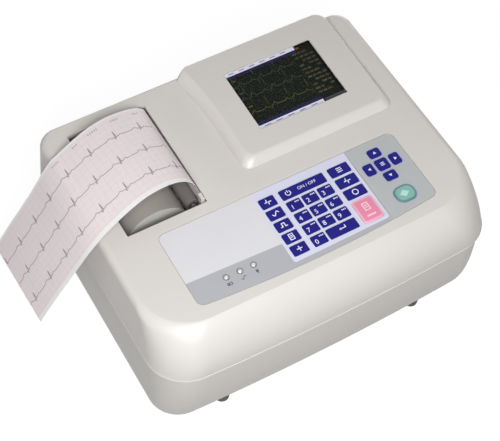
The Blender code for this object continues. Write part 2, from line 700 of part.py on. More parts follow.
def block_ring(share_out, share_up, plan_inset=0.0):
    """The screen block's outline on its way from the deck to its top face."""
    left = BLOCK_LEFT + BLOCK_SLOPE_LEFT * share_out + plan_inset
    right = BLOCK_RIGHT - BLOCK_SLOPE_RIGHT * share_out - plan_inset
    front = BLOCK_FRONT + BLOCK_SLOPE_FRONT * share_out + plan_inset
    back = CASE_BACK - BACK_FILLET - BLOCK_SLOPE_BACK * share_out - plan_inset
    quarter = math.pi / 2
    radius = BLOCK_BACK_RADIUS - BACK_FILLET
    outline = arc(left + BLOCK_RADIUS, front + BLOCK_RADIUS, BLOCK_RADIUS, 2 * quarter, 3 * quarter, 4)
    outline += arc(right - BLOCK_RADIUS, front + BLOCK_RADIUS, BLOCK_RADIUS, 3 * quarter, 4 * quarter, 4)
    outline += arc(right - radius, back - radius, radius, 0, quarter, 4)
    corner = arc(left + BLOCK_LEFT_RADIUS, back - BLOCK_LEFT_RADIUS, BLOCK_LEFT_RADIUS, quarter, 2 * quarter, 4)
    run = back - BLOCK_LEFT_RADIUS - BLOCK_FLARE_START
    corner += [(left, BLOCK_FLARE_START + run * (1 - i / BLOCK_FLARE_STEPS)) for i in range(1, BLOCK_FLARE_STEPS + 1)]
    for x, y in corner:
        share = max(0, y - BLOCK_FLARE_START) / (CASE_BACK - BACK_FILLET - BLOCK_FLARE_START)
        outline.append((x - BLOCK_FLARE * share**2, y))
    points = []
    for x, y in outline:
        height = BLOCK_HEIGHT + BLOCK_TILT * (y - BLOCK_FRONT)
        points.append((x, y, GAP + share_up * (height - GAP)))
    return points


def build_screen(deck):
    plastic = finish("screen_housing_plastic", (0.62, 0.60, 0.56), 0.42)
    rings = [block_ring(out, up) for up, out in FLANGE_SHARES]
    housing = put("display_housing", loft("display_housing", rings), deck, plastic)
    seat = empty("screen_seat", deck, (SCREEN_X, SCREEN_Y, screen_height()), (BLOCK_ANGLE, 0, 0))
    half_x = SCREEN_WIDTH / 2
    half_y = SCREEN_HEIGHT / 2
    window = box("screen_window", -half_x, half_x, -half_y, half_y, -BLOCK_HEIGHT, CUT_OVERRUN)
    pane_x = half_x + PANE_MARGIN
    pane_y = half_y + PANE_MARGIN
    room_x = PANEL_WIDTH / 2 + GAP
    room_y = PANEL_HEIGHT / 2 + GAP
    room = box(
        "screen_room", PANEL_SHIFT - room_x, PANEL_SHIFT + room_x, -room_y, room_y,
        -BLOCK_HEIGHT - 2 * CUT_OVERRUN, -BLOCK_ROOF,
    )
    boolean(housing, guide("screen_room", room, seat))
    boolean(housing, guide("screen_window", window, seat))
    glass = finish("screen_glass", (0.04, 0.04, 0.045), 0.08)
    pane_top = -BLOCK_ROOF - GAP
    pane = prism(
        "display_window", rounded(-pane_x, pane_x, -pane_y, pane_y, PANE_MARGIN / 2, steps=2),
        pane_top - PANE_THICKNESS, pane_top,
    )
    put("display_window", pane, seat, glass)
    panel_look = finish("screen_panel", (0.05, 0.07, 0.05), 0.35)
    panel_top = pane_top - PANE_THICKNESS - GAP
    half_w = PANEL_WIDTH / 2
    half_h = PANEL_HEIGHT / 2
    panel = box(
        "lcd_panel", PANEL_SHIFT - half_w, PANEL_SHIFT + half_w, -half_h, half_h,
        panel_top - PANEL_THICKNESS, panel_top,
    )
    put("lcd_panel", panel, seat, panel_look)


def screen_height():
    return BLOCK_HEIGHT + BLOCK_TILT * (SCREEN_Y - BLOCK_FRONT)


def build_keypad(deck):
    film = finish("overlay_film", (0.66, 0.67, 0.70), 0.38)
    low = -OVERLAY_DEPTH + GAP
    overlay = put("keypad_overlay", prism("keypad_overlay", overlay_outline(0), low, low + OVERLAY_THICKNESS), deck, film)
    holes = merge("overlay_holes", [
        key_cutters("key_holes", key_table(), KEY_GAP, -OVERLAY_DEPTH - CUT_OVERRUN, CUT_OVERRUN),
        lamp_cutters("lamp_holes", LAMP_RADIUS + GAP, -OVERLAY_DEPTH - CUT_OVERRUN, CUT_OVERRUN),
    ])
    boolean(overlay, guide("overlay_holes", holes, deck))
    looks = {
        "navy": finish("key_navy", (0.012, 0.012, 0.14), 0.35),
        "pink": finish("key_pink", (0.70, 0.22, 0.35), 0.35),
        "green": finish("key_green", (0.12, 0.33, 0.28), 0.35),
    }
    colours = {"key_stop": "pink", "key_start": "green"}
    for name, x, y, width, depth, radius in key_table():
        put(name, key_mesh(name, width, depth, radius), deck, looks[colours.get(name, "navy")], (x, y, 0))
    lamp_look = finish("lamp_plastic", (0.55, 0.60, 0.55), 0.25)
    pins = lamp_cutters("lamp_pins", LAMP_RADIUS, -WALL - GAP - LAMP_BAR_THICKNESS / 2, low + OVERLAY_THICKNESS)
    half = LAMP_RADIUS + LAMP_BAR_MARGIN
    bar = box(
        "status_lights", min(LAMP_XS) - half, max(LAMP_XS) + half, LAMP_Y - half, LAMP_Y + half,
        -WALL - GAP - LAMP_BAR_THICKNESS, -WALL - GAP,
    )
    lights = put("status_lights", bar, deck, lamp_look)
    boolean(lights, guide("lamp_pins", pins, deck), "UNION")
    board_look = finish("keypad_board_laminate", (0.03, 0.16, 0.07), 0.5)
    keys = key_table()
    x0 = min(x - w / 2 for _, x, _, w, _, _ in keys) - BOARD_MARGIN
    x1 = max(x + w / 2 for _, x, _, w, _, _ in keys) + BOARD_MARGIN
    y0 = min(y - d / 2 for _, _, y, _, d, _ in keys) - BOARD_MARGIN
    y1 = max(y + d / 2 for _, _, y, _, d, _ in keys) + BOARD_MARGIN
    top = KEY_PROUD - KEY_LENGTH - KEY_TRAVEL - GAP
    put("keypad_board", box("keypad_board", x0, x1, y0, y1, top - BOARD_THICKNESS, top), deck, board_look)


def key_mesh(name, width, depth, radius):
    rings = []
    for grow, z in ((0, KEY_PROUD - KEY_LENGTH), (0, KEY_PROUD - KEY_CHAMFER), (-KEY_CHAMFER, KEY_PROUD)):
        rings.append([(x, y, z) for x, y in key_outline(0, 0, width, depth, radius, grow)])
    return loft(name, rings)


def smooth_path(points, substeps):
    """Points along a Catmull-Rom curve through the given points, each a tuple of numbers."""
    path = []
    for i in range(len(points) - 1):
        before = points[max(i - 1, 0)]
        after = points[min(i + 2, len(points) - 1)]
        for k in range(substeps):
            t = k / substeps
            path.append(tuple(
                0.5 * ((2 * b) + (c - a) * t + (2 * a - 5 * b + 4 * c - d) * t**2 + (3 * b - a - 3 * c + d) * t**3)
                for a, b, c, d in zip(before, points[i], points[i + 1], after)
            ))
    path.append(points[-1])
    return path


def paper_stations():
    """Places along the strip: x and front edge y, then the near and far edges' heights."""
    reach = ROLL_RADIUS + GAP + PAPER_THICKNESS / 2
    to_roll = math.hypot(ROLL_X - NIP_X, ROLL_Z - WEB_BEND_Z)
    heading = math.atan2(ROLL_Z - WEB_BEND_Z, ROLL_X - NIP_X) + math.asin(reach / to_roll)
    length = math.sqrt(to_roll**2 - reach**2)
    web_x = NIP_X + length * math.cos(heading)
    web_z = WEB_BEND_Z + length * math.sin(heading)
    middle_x = (web_x + NIP_X) / 2
    middle_z = (web_z + WEB_BEND_Z) / 2
    web = [(web_x, PAPER_FRONT, web_z, web_z), (middle_x, PAPER_FRONT, middle_z, middle_z)]
    stations = [
        (NIP_X, PAPER_FRONT, WEB_BEND_Z, WEB_BEND_Z),
        (NIP_X, PAPER_FRONT, PLATEN_Z, PLATEN_Z),
        (NIP_X, PAPER_FRONT, DECK_HEIGHT - WALL, DECK_HEIGHT - WALL),
    ]
    for share, near, far in OVER_CASE_SHARES:
        x = NIP_X - share * (NIP_X - CASE_LEFT)
        y = PAPER_FRONT - PAPER_DRIFT * share**DRIFT_POWER
        stations.append((x, y, DECK_HEIGHT + near * PAPER_ARCH, DECK_HEIGHT + far * PAPER_ARCH))
    for share, near, far in PAST_CASE_SHARES:
        x = CASE_LEFT - share * PAPER_OVERHANG
        y = PAPER_FRONT - PAPER_DRIFT - share * PAPER_TAIL_DRIFT
        stations.append((x, y, DECK_HEIGHT + near * PAPER_ARCH, DECK_HEIGHT + far * PAPER_ARCH))
    return web + smooth_path(stations, PAPER_SUBSTEPS)


def build_strip(root):
    look = finish("strip_paper", (0.78, 0.70, 0.72), 0.75)
    path = paper_stations()
    columns = []
    for column in range(PAPER_COLUMNS):
        across = column / (PAPER_COLUMNS - 1)
        line = [Vector((x, y + across * PAPER_WIDTH, near + across * (far - near))) for x, y, near, far in path]
        upper = []
        lower = []
        for i, point in enumerate(line):
            ahead = line[min(i + 1, len(line) - 1)] - line[max(i - 1, 0)]
            side = Vector((ahead.z, 0, -ahead.x)).normalized() * (PAPER_THICKNESS / 2)
            upper.append(point + side)
            lower.append(point - side)
        columns.append((upper, lower))
    rings = []
    for i in range(len(path)):
        top = [upper[i] for upper, _ in columns]
        bottom = [lower[i] for _, lower in reversed(columns)]
        rings.append(top + bottom)
    put("paper_strip", loft("paper_strip", rings), root, look, sharp=60)


def build_printer_frame(root):
    look = finish("mechanism_plastic", (0.16, 0.155, 0.15), 0.55)
    front_y = FRAME_FRONT - FRAME_PLATE
    back_y = FRAME_BACK + FRAME_PLATE
    front_top = deck_z(front_y) - WALL - FRAME_TOP_CLEARANCE
    back_top = deck_z(FRAME_BACK) - WALL - FRAME_TOP_CLEARANCE
    left = FRAME_LEFT - FRAME_PLATE
    inset = FRAME_LEG_INSET
    pieces = [
        box("frame_front", left, FRAME_FRONT_RIGHT, front_y, FRAME_FRONT, FRAME_FLOOR_Z, front_top),
        box("frame_back", left, FRAME_BACK_RIGHT, FRAME_BACK, back_y, FRAME_FLOOR_Z, back_top),
        box("frame_left", left, FRAME_LEFT, FRAME_FRONT - inset, FRAME_BACK + inset, FRAME_FLOOR_Z, front_top - inset),
        box(
            "frame_floor", left + inset / 2, FRAME_FRONT_RIGHT - inset, FRAME_FRONT - inset, FRAME_BACK + inset,
            FRAME_FLOOR_Z + inset / 2, FRAME_FLOOR_Z + FRAME_PLATE,
        ),
    ]
    for x in (left + inset, FRAME_FRONT_RIGHT - inset - FRAME_LEG):
        for y in (front_y + inset, back_y - inset - FRAME_LEG):
            pieces.append(box(
                "frame_leg", x, x + FRAME_LEG, y, y + FRAME_LEG, FLOOR_Z + GAP, FRAME_FLOOR_Z + FRAME_PLATE - inset / 2,
            ))
    pin_start = back_y - inset
    pieces.append(rod("idler_pin", IDLER_X, IDLER_Z, IDLER_PIN_RADIUS, pin_start, GEAR_FRONT + GEAR_FACE + SHAFT_OVERHANG))
    lever_end = LEVER_FRONT + LEVER_WIDTH + GAP
    pieces.append(rod("lever_pin", LEVER_PIVOT_X, LEVER_PIVOT_Z, LEVER_PIN_RADIUS, FRAME_FRONT - inset, lever_end))
    frame = put("printer_frame", pieces[0], root, look)
    for piece in pieces[1:]:
        boolean(frame, guide(piece.name + "_join", piece, root), "UNION")
    reach = back_y + CUT_OVERRUN / 10
    start = front_y - CUT_OVERRUN / 10
    slot = SPINDLE_RADIUS + BEARING_GAP
    cuts = []
    for y0, y1 in ((start, FRAME_FRONT + CUT_OVERRUN / 10), (FRAME_BACK - CUT_OVERRUN / 10, reach)):
        for name, x, z, bore in (
            ("spindle_seat", ROLL_X, ROLL_Z, slot),
            ("platen_seat", PLATEN_X, PLATEN_Z, PLATEN_SHAFT_RADIUS + BEARING_GAP),
            ("bracket_seat", bracket_pivot_x(), BRACKET_PIVOT_Z, BRACKET_PIVOT_RADIUS + BEARING_GAP),
        ):
            cuts.append(rod(name, x, z, bore, y0, y1, BEARING_STEPS))
    cuts.append(rod("motor_seat", PINION_X, PINION_Z, MOTOR_BOSS_RADIUS + GAP, FRAME_BACK - CUT_OVERRUN / 10, reach))
    boolean(frame, guide("frame_bores", merge("frame_bores", cuts), root))
    slots = []
    for y0, y1 in ((start, FRAME_FRONT + CUT_OVERRUN / 10), (FRAME_BACK - CUT_OVERRUN / 10, reach)):
        slots.append(box("spindle_slot", ROLL_X - slot, ROLL_X + slot, y0, y1, ROLL_Z, back_top + CUT_OVERRUN))
    boolean(frame, guide("spindle_slots", merge("spindle_slots", slots), root))


def bracket_pivot_x():
    return BRACKET_X + BRACKET_THICKNESS / 2


def build_roll(root):
    axis = empty("roll_axis", root, (ROLL_X, PAPER_FRONT + PAPER_WIDTH / 2, ROLL_Z))
    paper = finish("roll_paper", (0.74, 0.68, 0.68), 0.8)
    half = PAPER_WIDTH / 2
    put("paper_roll", sleeve("paper_roll", ROLL_RADIUS, ROLL_BORE_RADIUS, -half, half, ROLL_STEPS), axis, paper)
    plastic = finish("spindle_plastic", (0.10, 0.10, 0.11), 0.5)
    hub = SPINDLE_HUB_LENGTH / 2
    front = FRAME_FRONT - FRAME_PLATE - (PAPER_FRONT + half)
    back = FRAME_BACK + FRAME_PLATE - (PAPER_FRONT + half)
    profile = ((front, SPINDLE_RADIUS), (-hub, SPINDLE_RADIUS), (-hub, SPINDLE_HUB_RADIUS),
               (hub, SPINDLE_HUB_RADIUS), (hub, SPINDLE_RADIUS), (back, SPINDLE_RADIUS))
    rings = [[(u, y, v) for u, v in circle(radius, ROUND_STEPS + 8)] for y, radius in profile]
    put("roll_spindle", loft("roll_spindle", rings), axis, plastic)


def build_platen(root):
    axis = empty("platen_axis", root, (PLATEN_X, 0, PLATEN_Z))
    rubber = finish("platen_rubber", (0.05, 0.05, 0.055), 0.8)
    steel = finish("shaft_steel", (0.55, 0.55, 0.56), 0.25, 1.0)
    bore = PLATEN_SHAFT_RADIUS + GAP
    end = PAPER_FRONT + PAPER_WIDTH
    put("platen_roller", sleeve("platen_roller", PLATEN_RADIUS, bore, PAPER_FRONT, end, ROUND_STEPS + 12), axis, rubber)
    front = FRAME_FRONT - FRAME_PLATE
    back = GEAR_FRONT + GEAR_FACE + SHAFT_OVERHANG
    put("platen_shaft", rod("platen_shaft", 0, 0, PLATEN_SHAFT_RADIUS, front, back), axis, steel)


def involute(base, radius):
    """The angle that the involute of a base circle has turned through at a radius."""
    if radius <= base:
        return 0.0
    alpha = math.acos(base / radius)
    return math.tan(alpha) - alpha


def gear_outline(teeth, phase):
    """A spur gear's outline, with a tooth's middle at the phase angle."""
    pitch = GEAR_MODULE * teeth / 2
    base = pitch * math.cos(PRESSURE_ANGLE)
    tip = pitch + ADDENDUM_SHARE * GEAR_MODULE
    root = pitch - DEDENDUM_SHARE * GEAR_MODULE
    half_tooth = (math.pi * GEAR_MODULE / 2 - GEAR_BACKLASH) / 2 / pitch
    start = max(base, root)
    radii = [start + (tip - start) * i / FLANK_STEPS for i in range(FLANK_STEPS + 1)]
    flank = [(r, half_tooth + involute(base, pitch) - involute(base, r)) for r in radii]
    if root < base:
        flank.insert(0, (root, flank[0][1]))
    points = []
    for i in range(teeth):
        middle = phase + 2 * math.pi * i / teeth
        points += [(r * math.cos(middle - a), r * math.sin(middle - a)) for r, a in flank]
        points += [(r * math.cos(middle + a), r * math.sin(middle + a)) for r, a in reversed(flank)]
    return points


def gear_mesh(name, teeth, phase, bore):
    """A spur gear along Y with a round bore."""
    outline = gear_outline(teeth, phase)
    hole = []
    for x, z in outline:
        angle = math.atan2(z, x)
        hole.append((bore * math.cos(angle), bore * math.sin(angle)))
    end = GEAR_FRONT + GEAR_FACE
    outer = [[(x, y, z) for x, z in outline] for y in (GEAR_FRONT, end)]
    inner = [[(x, y, z) for x, z in hole] for y in (end, GEAR_FRONT)]
    return tube(name, outer + inner)


def build_gears(root):
    look = finish("gear_plastic", (0.72, 0.70, 0.62), 0.5)
    pitch = 2 * math.pi / IDLER_TEETH
    platen_phase = IDLER_DIRECTION
    idler_phase = IDLER_DIRECTION + math.pi + pitch / 2
    lag = (PINION_DIRECTION - idler_phase) % pitch
    pinion_phase = PINION_DIRECTION + math.pi + math.pi / PINION_TEETH + lag * IDLER_TEETH / PINION_TEETH
    for name, x, z, teeth, phase, shaft in (
        ("platen_gear", PLATEN_X, PLATEN_Z, PLATEN_TEETH, platen_phase, PLATEN_SHAFT_RADIUS),
        ("idler_gear", IDLER_X, IDLER_Z, IDLER_TEETH, idler_phase, IDLER_PIN_RADIUS),
        ("motor_pinion", PINION_X, PINION_Z, PINION_TEETH, pinion_phase, MOTOR_SHAFT_RADIUS),
    ):
        put(name, gear_mesh(name, teeth, phase, shaft + BEARING_GAP), root, look, (x, 0, z))


def build_motor(root):
    steel = finish("motor_steel", (0.42, 0.42, 0.43), 0.35, 1.0)
    front = FRAME_BACK - GAP - MOTOR_LENGTH
    face = FRAME_BACK - GAP
    profile = (
        (front, MOTOR_RADIUS), (face, MOTOR_RADIUS), (face, MOTOR_BOSS_RADIUS),
        (face + MOTOR_BOSS_LENGTH, MOTOR_BOSS_RADIUS), (face + MOTOR_BOSS_LENGTH, MOTOR_SHAFT_RADIUS),
        (GEAR_FRONT + GEAR_FACE + SHAFT_OVERHANG, MOTOR_SHAFT_RADIUS),
    )
    rings = [[(u, y, v) for u, v in circle(radius, ROUND_STEPS + 8)] for y, radius in profile]
    put("stepper_motor", loft("stepper_motor", rings), root, steel, (PINION_X, 0, PINION_Z))


def build_head(root):
    pivot = empty("head_axis", root, (bracket_pivot_x(), 0, BRACKET_PIVOT_Z))
    ceramic = finish("head_ceramic", (0.75, 0.74, 0.70), 0.3)
    start = PAPER_FRONT - FRAME_LEG_INSET
    end = PAPER_FRONT + PAPER_WIDTH + FRAME_LEG_INSET
    x0 = HEAD_FACE_X - bracket_pivot_x()
    head = box(
        "print_head", x0, x0 + HEAD_THICKNESS, start, end,
        HEAD_BOTTOM_Z - BRACKET_PIVOT_Z, HEAD_TOP_Z - BRACKET_PIVOT_Z,
    )
    put("print_head", head, pivot, ceramic)
    metal = finish("bracket_aluminium", (0.60, 0.61, 0.62), 0.35, 1.0)
    half = BRACKET_THICKNESS / 2
    low = BRACKET_BOTTOM_Z - BRACKET_PIVOT_Z
    high = BRACKET_TOP_Z - BRACKET_PIVOT_Z
    bracket = put("head_bracket", box("head_bracket", -half, half, start, end, low, high), pivot, metal)
    joins = []
    step = (end - start) / (BRACKET_RIBS + 1)
    for i in range(BRACKET_RIBS):
        y = start + step * (i + 1)
        joins.append(box(
            "bracket_rib", half - FRAME_LEG_INSET, half + BRACKET_RIB_DEPTH, y - BRACKET_RIB_WIDTH / 2,
            y + BRACKET_RIB_WIDTH / 2, HEAD_BOTTOM_Z - BRACKET_PIVOT_Z, high - FRAME_LEG_INSET,
        ))
    joins.append(rod("bracket_pin_front", 0, 0, BRACKET_PIVOT_RADIUS, FRAME_FRONT - FRAME_PLATE, start + FRAME_LEG_INSET))
    joins.append(rod("bracket_pin_back", 0, 0, BRACKET_PIVOT_RADIUS, end - FRAME_LEG_INSET, FRAME_BACK + FRAME_PLATE))
    boolean(bracket, guide("bracket_joins", merge("bracket_joins", joins), pivot), "UNION")


def build_lever(root):
    look = finish("lever_plastic", (0.60, 0.59, 0.56), 0.45)
    points = [
        (LEVER_KNEE_X - LEVER_PIVOT_X, LEVER_KNEE_Z - LEVER_PIVOT_Z),
        (LEVER_ELBOW_X - LEVER_PIVOT_X, LEVER_ELBOW_Z - LEVER_PIVOT_Z),
        (LEVER_TAB_X - LEVER_PIVOT_X, LEVER_TAB_Z - LEVER_PIVOT_Z),
    ]
    (knee_x, knee_z), (elbow_x, elbow_z), (tab_x, tab_z) = points
    half = LEVER_ARM / 2
    outline = arc(0, 0, LEVER_BOSS_RADIUS, math.radians(150), math.radians(390), 12)
    outline += [
        (knee_x + half, knee_z + half),
        (elbow_x + half, elbow_z + half),
        (tab_x + half, tab_z),
        (tab_x - half, tab_z),
        (elbow_x - half, elbow_z - half),
        (knee_x - half, knee_z - half),
    ]
    rings = [[(x, y, z) for x, z in outline] for y in (LEVER_FRONT, LEVER_FRONT + LEVER_WIDTH)]
    lever = put("release_lever", loft("release_lever", rings), root, look, (LEVER_PIVOT_X, 0, LEVER_PIVOT_Z))
    reach = LEVER_FRONT + LEVER_WIDTH + CUT_OVERRUN
    bore = rod("lever_bore", 0, 0, LEVER_PIN_RADIUS + BEARING_GAP, LEVER_FRONT - CUT_OVERRUN, reach)
    boolean(lever, guide("lever_bore", bore, root, (LEVER_PIVOT_X, 0, LEVER_PIVOT_Z)))


def build_boards(root):
    laminate = finish("main_board_laminate", (0.03, 0.17, 0.08), 0.5)
    board = put("main_board", box(
        "main_board", MAIN_BOARD_LEFT, MAIN_BOARD_RIGHT, MAIN_BOARD_FRONT, MAIN_BOARD_BACK,
        MAIN_BOARD_Z, MAIN_BOARD_Z + BOARD_THICKNESS,
    ), root, laminate)
    seat = MAIN_BOARD_Z + BOARD_THICKNESS / 2
    top = MAIN_BOARD_Z + BOARD_THICKNESS
    width = MAIN_BOARD_RIGHT - MAIN_BOARD_LEFT
    depth = MAIN_BOARD_BACK - MAIN_BOARD_FRONT
    parts = []
    for across_share, along_share in ((0.25, 0.3), (0.55, 0.35), (0.4, 0.7), (0.75, 0.7)):
        x = MAIN_BOARD_LEFT + across_share * width
        y = MAIN_BOARD_FRONT + along_share * depth
        half = CHIP_SIZE / 2
        parts.append(box("chip", x - half, x + half, y - half, y + half, seat, top + CHIP_HEIGHT))
    for along_share in (0.25, 0.6):
        x = MAIN_BOARD_RIGHT - MAIN_BOARD_INSET
        y = MAIN_BOARD_FRONT + along_share * depth
        parts.append(box(
            "board_socket", x - SOCKET_WIDTH, x, y - SOCKET_LENGTH / 2, y + SOCKET_LENGTH / 2, seat, top + SOCKET_HEIGHT,
        ))
    boolean(board, guide("board_parts", merge("board_parts", parts), root), "UNION")


def build_supply(root):
    look = finish("supply_laminate", (0.10, 0.13, 0.05), 0.55)
    supply = put("power_supply", box(
        "power_supply", SUPPLY_LEFT, SUPPLY_RIGHT, SUPPLY_FRONT, SUPPLY_BACK, SUPPLY_Z, SUPPLY_Z + BOARD_THICKNESS,
    ), root, look)
    seat = SUPPLY_Z + BOARD_THICKNESS / 2
    top = SUPPLY_Z + BOARD_THICKNESS
    width = SUPPLY_RIGHT - SUPPLY_LEFT
    depth = SUPPLY_BACK - SUPPLY_FRONT
    middle_x = SUPPLY_LEFT + width / 2
    middle_y = SUPPLY_FRONT + depth / 2
    half = TRANSFORMER_SIZE / 2
    parts = [box(
        "transformer", middle_x - half, middle_x + half, middle_y - half, middle_y + half, seat, top + TRANSFORMER_HEIGHT,
    )]
    for along_share in (0.2, 0.42):
        y = SUPPLY_FRONT + along_share * depth
        x = SUPPLY_RIGHT - 2 * CAPACITOR_RADIUS
        parts.append(post("capacitor", x, y, CAPACITOR_RADIUS, seat, top + CAPACITOR_HEIGHT, CAPACITOR_STEPS))
    x = SUPPLY_LEFT + 3 * SUPPLY_INSET
    parts.append(box(
        "heat_sink", x - SINK_WIDTH / 2, x + SINK_WIDTH / 2, SUPPLY_FRONT + depth / 4, SUPPLY_BACK - depth / 4,
        seat, top + SINK_HEIGHT,
    ))
    boolean(supply, guide("supply_parts", merge("supply_parts", parts), root), "UNION")


def build_battery(root):
    wrap = finish("battery_wrap", (0.05, 0.10, 0.30), 0.4)
    outline = rounded(BATTERY_LEFT, BATTERY_RIGHT, BATTERY_FRONT, BATTERY_BACK, BATTERY_RADIUS, steps=4)
    put("battery_pack", prism("battery_pack", outline, FLOOR_Z + GAP, BATTERY_TOP), root, wrap)
    look = finish("door_plastic", (0.60, 0.58, 0.54), 0.45)
    put("battery_door", prism("battery_door", door_outline(0), BASE_HEIGHT, FLOOR_Z), root, look)


def build_power_entry(root):
    look = finish("entry_plastic", (0.03, 0.03, 0.032), 0.4)
    half_w = ENTRY_WIDTH / 2
    half_h = ENTRY_HEIGHT / 2
    face = LOWER_BACK + GAP + ENTRY_FLANGE_THICKNESS
    wall = LOWER_BACK + GAP
    entry = put("mains_inlet", box(
        "mains_inlet", ENTRY_X - half_w, ENTRY_X + half_w, wall - ENTRY_DEPTH, face - ENTRY_FLANGE_THICKNESS / 2,
        ENTRY_Z - half_h, ENTRY_Z + half_h,
    ), root, look)
    flange_x = half_w + ENTRY_FLANGE
    flange_z = half_h + ENTRY_FLANGE
    flange = box(
        "entry_flange", ENTRY_X - flange_x, ENTRY_X + flange_x, wall, face, ENTRY_Z - flange_z, ENTRY_Z + flange_z,
    )
    boolean(entry, guide("entry_flange", flange, root), "UNION")
    inlet_x = ENTRY_X + INLET_OFFSET
    bay_x = ENTRY_X + BAY_OFFSET
    recess = box(
        "inlet_recess", inlet_x - INLET_WIDTH / 2, inlet_x + INLET_WIDTH / 2, face - INLET_DEPTH, face + CUT_OVERRUN,
        ENTRY_Z - INLET_HEIGHT / 2, ENTRY_Z + INLET_HEIGHT / 2,
    )
    bay = box(
        "rocker_bay", bay_x - BAY_WIDTH / 2, bay_x + BAY_WIDTH / 2, face - BAY_DEPTH, face + CUT_OVERRUN,
        ENTRY_Z - BAY_HEIGHT / 2, ENTRY_Z + BAY_HEIGHT / 2,
    )
    boolean(entry, guide("entry_cuts", merge("entry_cuts", [recess, bay]), root))
    pins = []
    floor = face - INLET_DEPTH
    for across, raise_share in ((-1, -1), (0, 1), (1, -1)):
        x = inlet_x + across * INLET_PIN_SPREAD
        z = ENTRY_Z + raise_share * INLET_PIN_RAISE
        pins.append(box(
            "inlet_pin", x - INLET_PIN_WIDTH / 2, x + INLET_PIN_WIDTH / 2, floor - INLET_PIN_WIDTH,
            floor + INLET_PIN_LENGTH, z - INLET_PIN_HEIGHT / 2, z + INLET_PIN_HEIGHT / 2,
        ))
    boolean(entry, guide("inlet_pins", merge("inlet_pins", pins), root), "UNION")
    rocker_look = finish("rocker_plastic", (0.02, 0.02, 0.02), 0.3)
    back = ROCKER_HALF * ROCKER_BACK_SHARE
    outline = (
        (-ROCKER_HALF, ROCKER_PROUD), (0, ROCKER_VALLEY), (ROCKER_HALF, ROCKER_PROUD),
        (back, -ROCKER_SHOULDER), (0, -ROCKER_BACK), (-back, -ROCKER_SHOULDER),
    )
    half = ROCKER_WIDTH / 2
    rings = [[(x, y, z) for z, y in outline] for x in (-half, half)]
    pivot_y = face - ROCKER_PIVOT_DEPTH
    put("power_switch", loft("power_switch", rings), root, rocker_look, (bay_x, pivot_y, ENTRY_Z), (ROCKER_REST, 0, 0))


def build_earth_post(root):
    look = finish("earth_brass", (0.60, 0.55, 0.42), 0.3, 1.0)
    wall = LOWER_BACK + GAP
    inner = wall - EARTH_INNER
    nut = EARTH_NUT_RADIUS
    hexagon = [[(u, y, v) for u, v in circle(nut, 6)] for y in (wall, wall + EARTH_NUT_THICKNESS)]
    stud = rod("earth_stud", 0, 0, EARTH_STUD_RADIUS, inner, wall + EARTH_NUT_THICKNESS + EARTH_PROUD)
    post_object = put("earth_post", stud, root, look, (EARTH_X, 0, ENTRY_Z))
    hex_nut = guide("earth_nut", loft("earth_nut", hexagon), root, (EARTH_X, 0, ENTRY_Z))
    boolean(post_object, hex_nut, "UNION")


def build_port(root):
    look = finish("port_metal", (0.50, 0.50, 0.50), 0.35, 1.0)
    wall = LOWER_RIGHT + GAP
    half_w = PORT_FLANGE_WIDTH / 2
    half_h = PORT_FLANGE_HEIGHT / 2
    flange = box(
        "patient_port", wall, wall + PORT_FLANGE_THICKNESS, PORT_Y - half_w, PORT_Y + half_w,
        PORT_Z - half_h, PORT_Z + half_h,
    )
    port = put("patient_port", flange, root, look)
    wide = PORT_SHELL_WIDTH / 2
    narrow = PORT_SHELL_NARROW / 2
    rise = PORT_SHELL_HEIGHT / 2
    shape = ((-narrow, -rise), (narrow, -rise), (wide, rise), (-wide, rise))
    shell = [[(x, PORT_Y + y, PORT_Z + z) for y, z in shape] for x in (wall - PORT_INNER, PORT_REACH)]
    joins = [loft("port_shell", shell)]
    for side in (-1, 1):
        centre = PORT_Y + side * PORT_POST_SPREAD / 2
        ends = (wall + PORT_FLANGE_THICKNESS / 2, wall + PORT_FLANGE_THICKNESS + PORT_POST_LENGTH)
        hexagon = [[(x, centre + u, PORT_Z + v) for u, v in circle(PORT_POST_RADIUS, 6)] for x in ends]
        joins.append(loft("port_post", hexagon))
    boolean(port, guide("port_joins", merge("port_joins", joins), root), "UNION")


def main():
    clear_scene()
    root = empty("electrocardiograph", None, FRAME_SHIFT)
    deck = empty("deck", root, (0, 0, DECK_HEIGHT), (DECK_ANGLE, 0, 0))
    build_upper_case(root, deck)
    build_lower_case(root)
    build_feet(root)
    build_screen(deck)
    build_keypad(deck)
    build_printer_frame(root)
    build_roll(root)
    build_platen(root)
    build_gears(root)
    build_motor(root)
    build_head(root)
    build_lever(root)
    build_strip(root)
    build_boards(root)
    build_supply(root)
    build_battery(root)
    build_power_entry(root)
    build_earth_post(root)
    build_port(root)


main()
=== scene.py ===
# Looks of a three-channel electrocardiograph: a pale moulded case with a paper recorder at the left,
# a raised colour screen at the right and a flat printed keypad along the front.
# Everything is in metres. Places are measured from the middle of the case, as the parts are.
import math

import bmesh
import bpy
from mathutils import Matrix, Vector


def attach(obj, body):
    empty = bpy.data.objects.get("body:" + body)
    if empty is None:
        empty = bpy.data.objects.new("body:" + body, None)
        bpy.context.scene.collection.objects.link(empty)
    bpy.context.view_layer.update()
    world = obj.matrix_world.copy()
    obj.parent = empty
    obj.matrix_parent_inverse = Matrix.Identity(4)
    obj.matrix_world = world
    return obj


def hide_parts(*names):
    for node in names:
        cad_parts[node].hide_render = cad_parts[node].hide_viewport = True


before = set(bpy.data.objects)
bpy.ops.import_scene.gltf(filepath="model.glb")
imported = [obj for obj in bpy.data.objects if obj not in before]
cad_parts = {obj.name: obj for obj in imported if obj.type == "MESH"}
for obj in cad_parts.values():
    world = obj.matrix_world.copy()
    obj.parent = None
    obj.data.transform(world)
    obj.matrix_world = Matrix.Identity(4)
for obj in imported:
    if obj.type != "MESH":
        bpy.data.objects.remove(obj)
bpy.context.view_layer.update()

# The case
CASE_PLACE = (0.01715, -0.00555, 0)
HALF_WIDTH = 0.1290
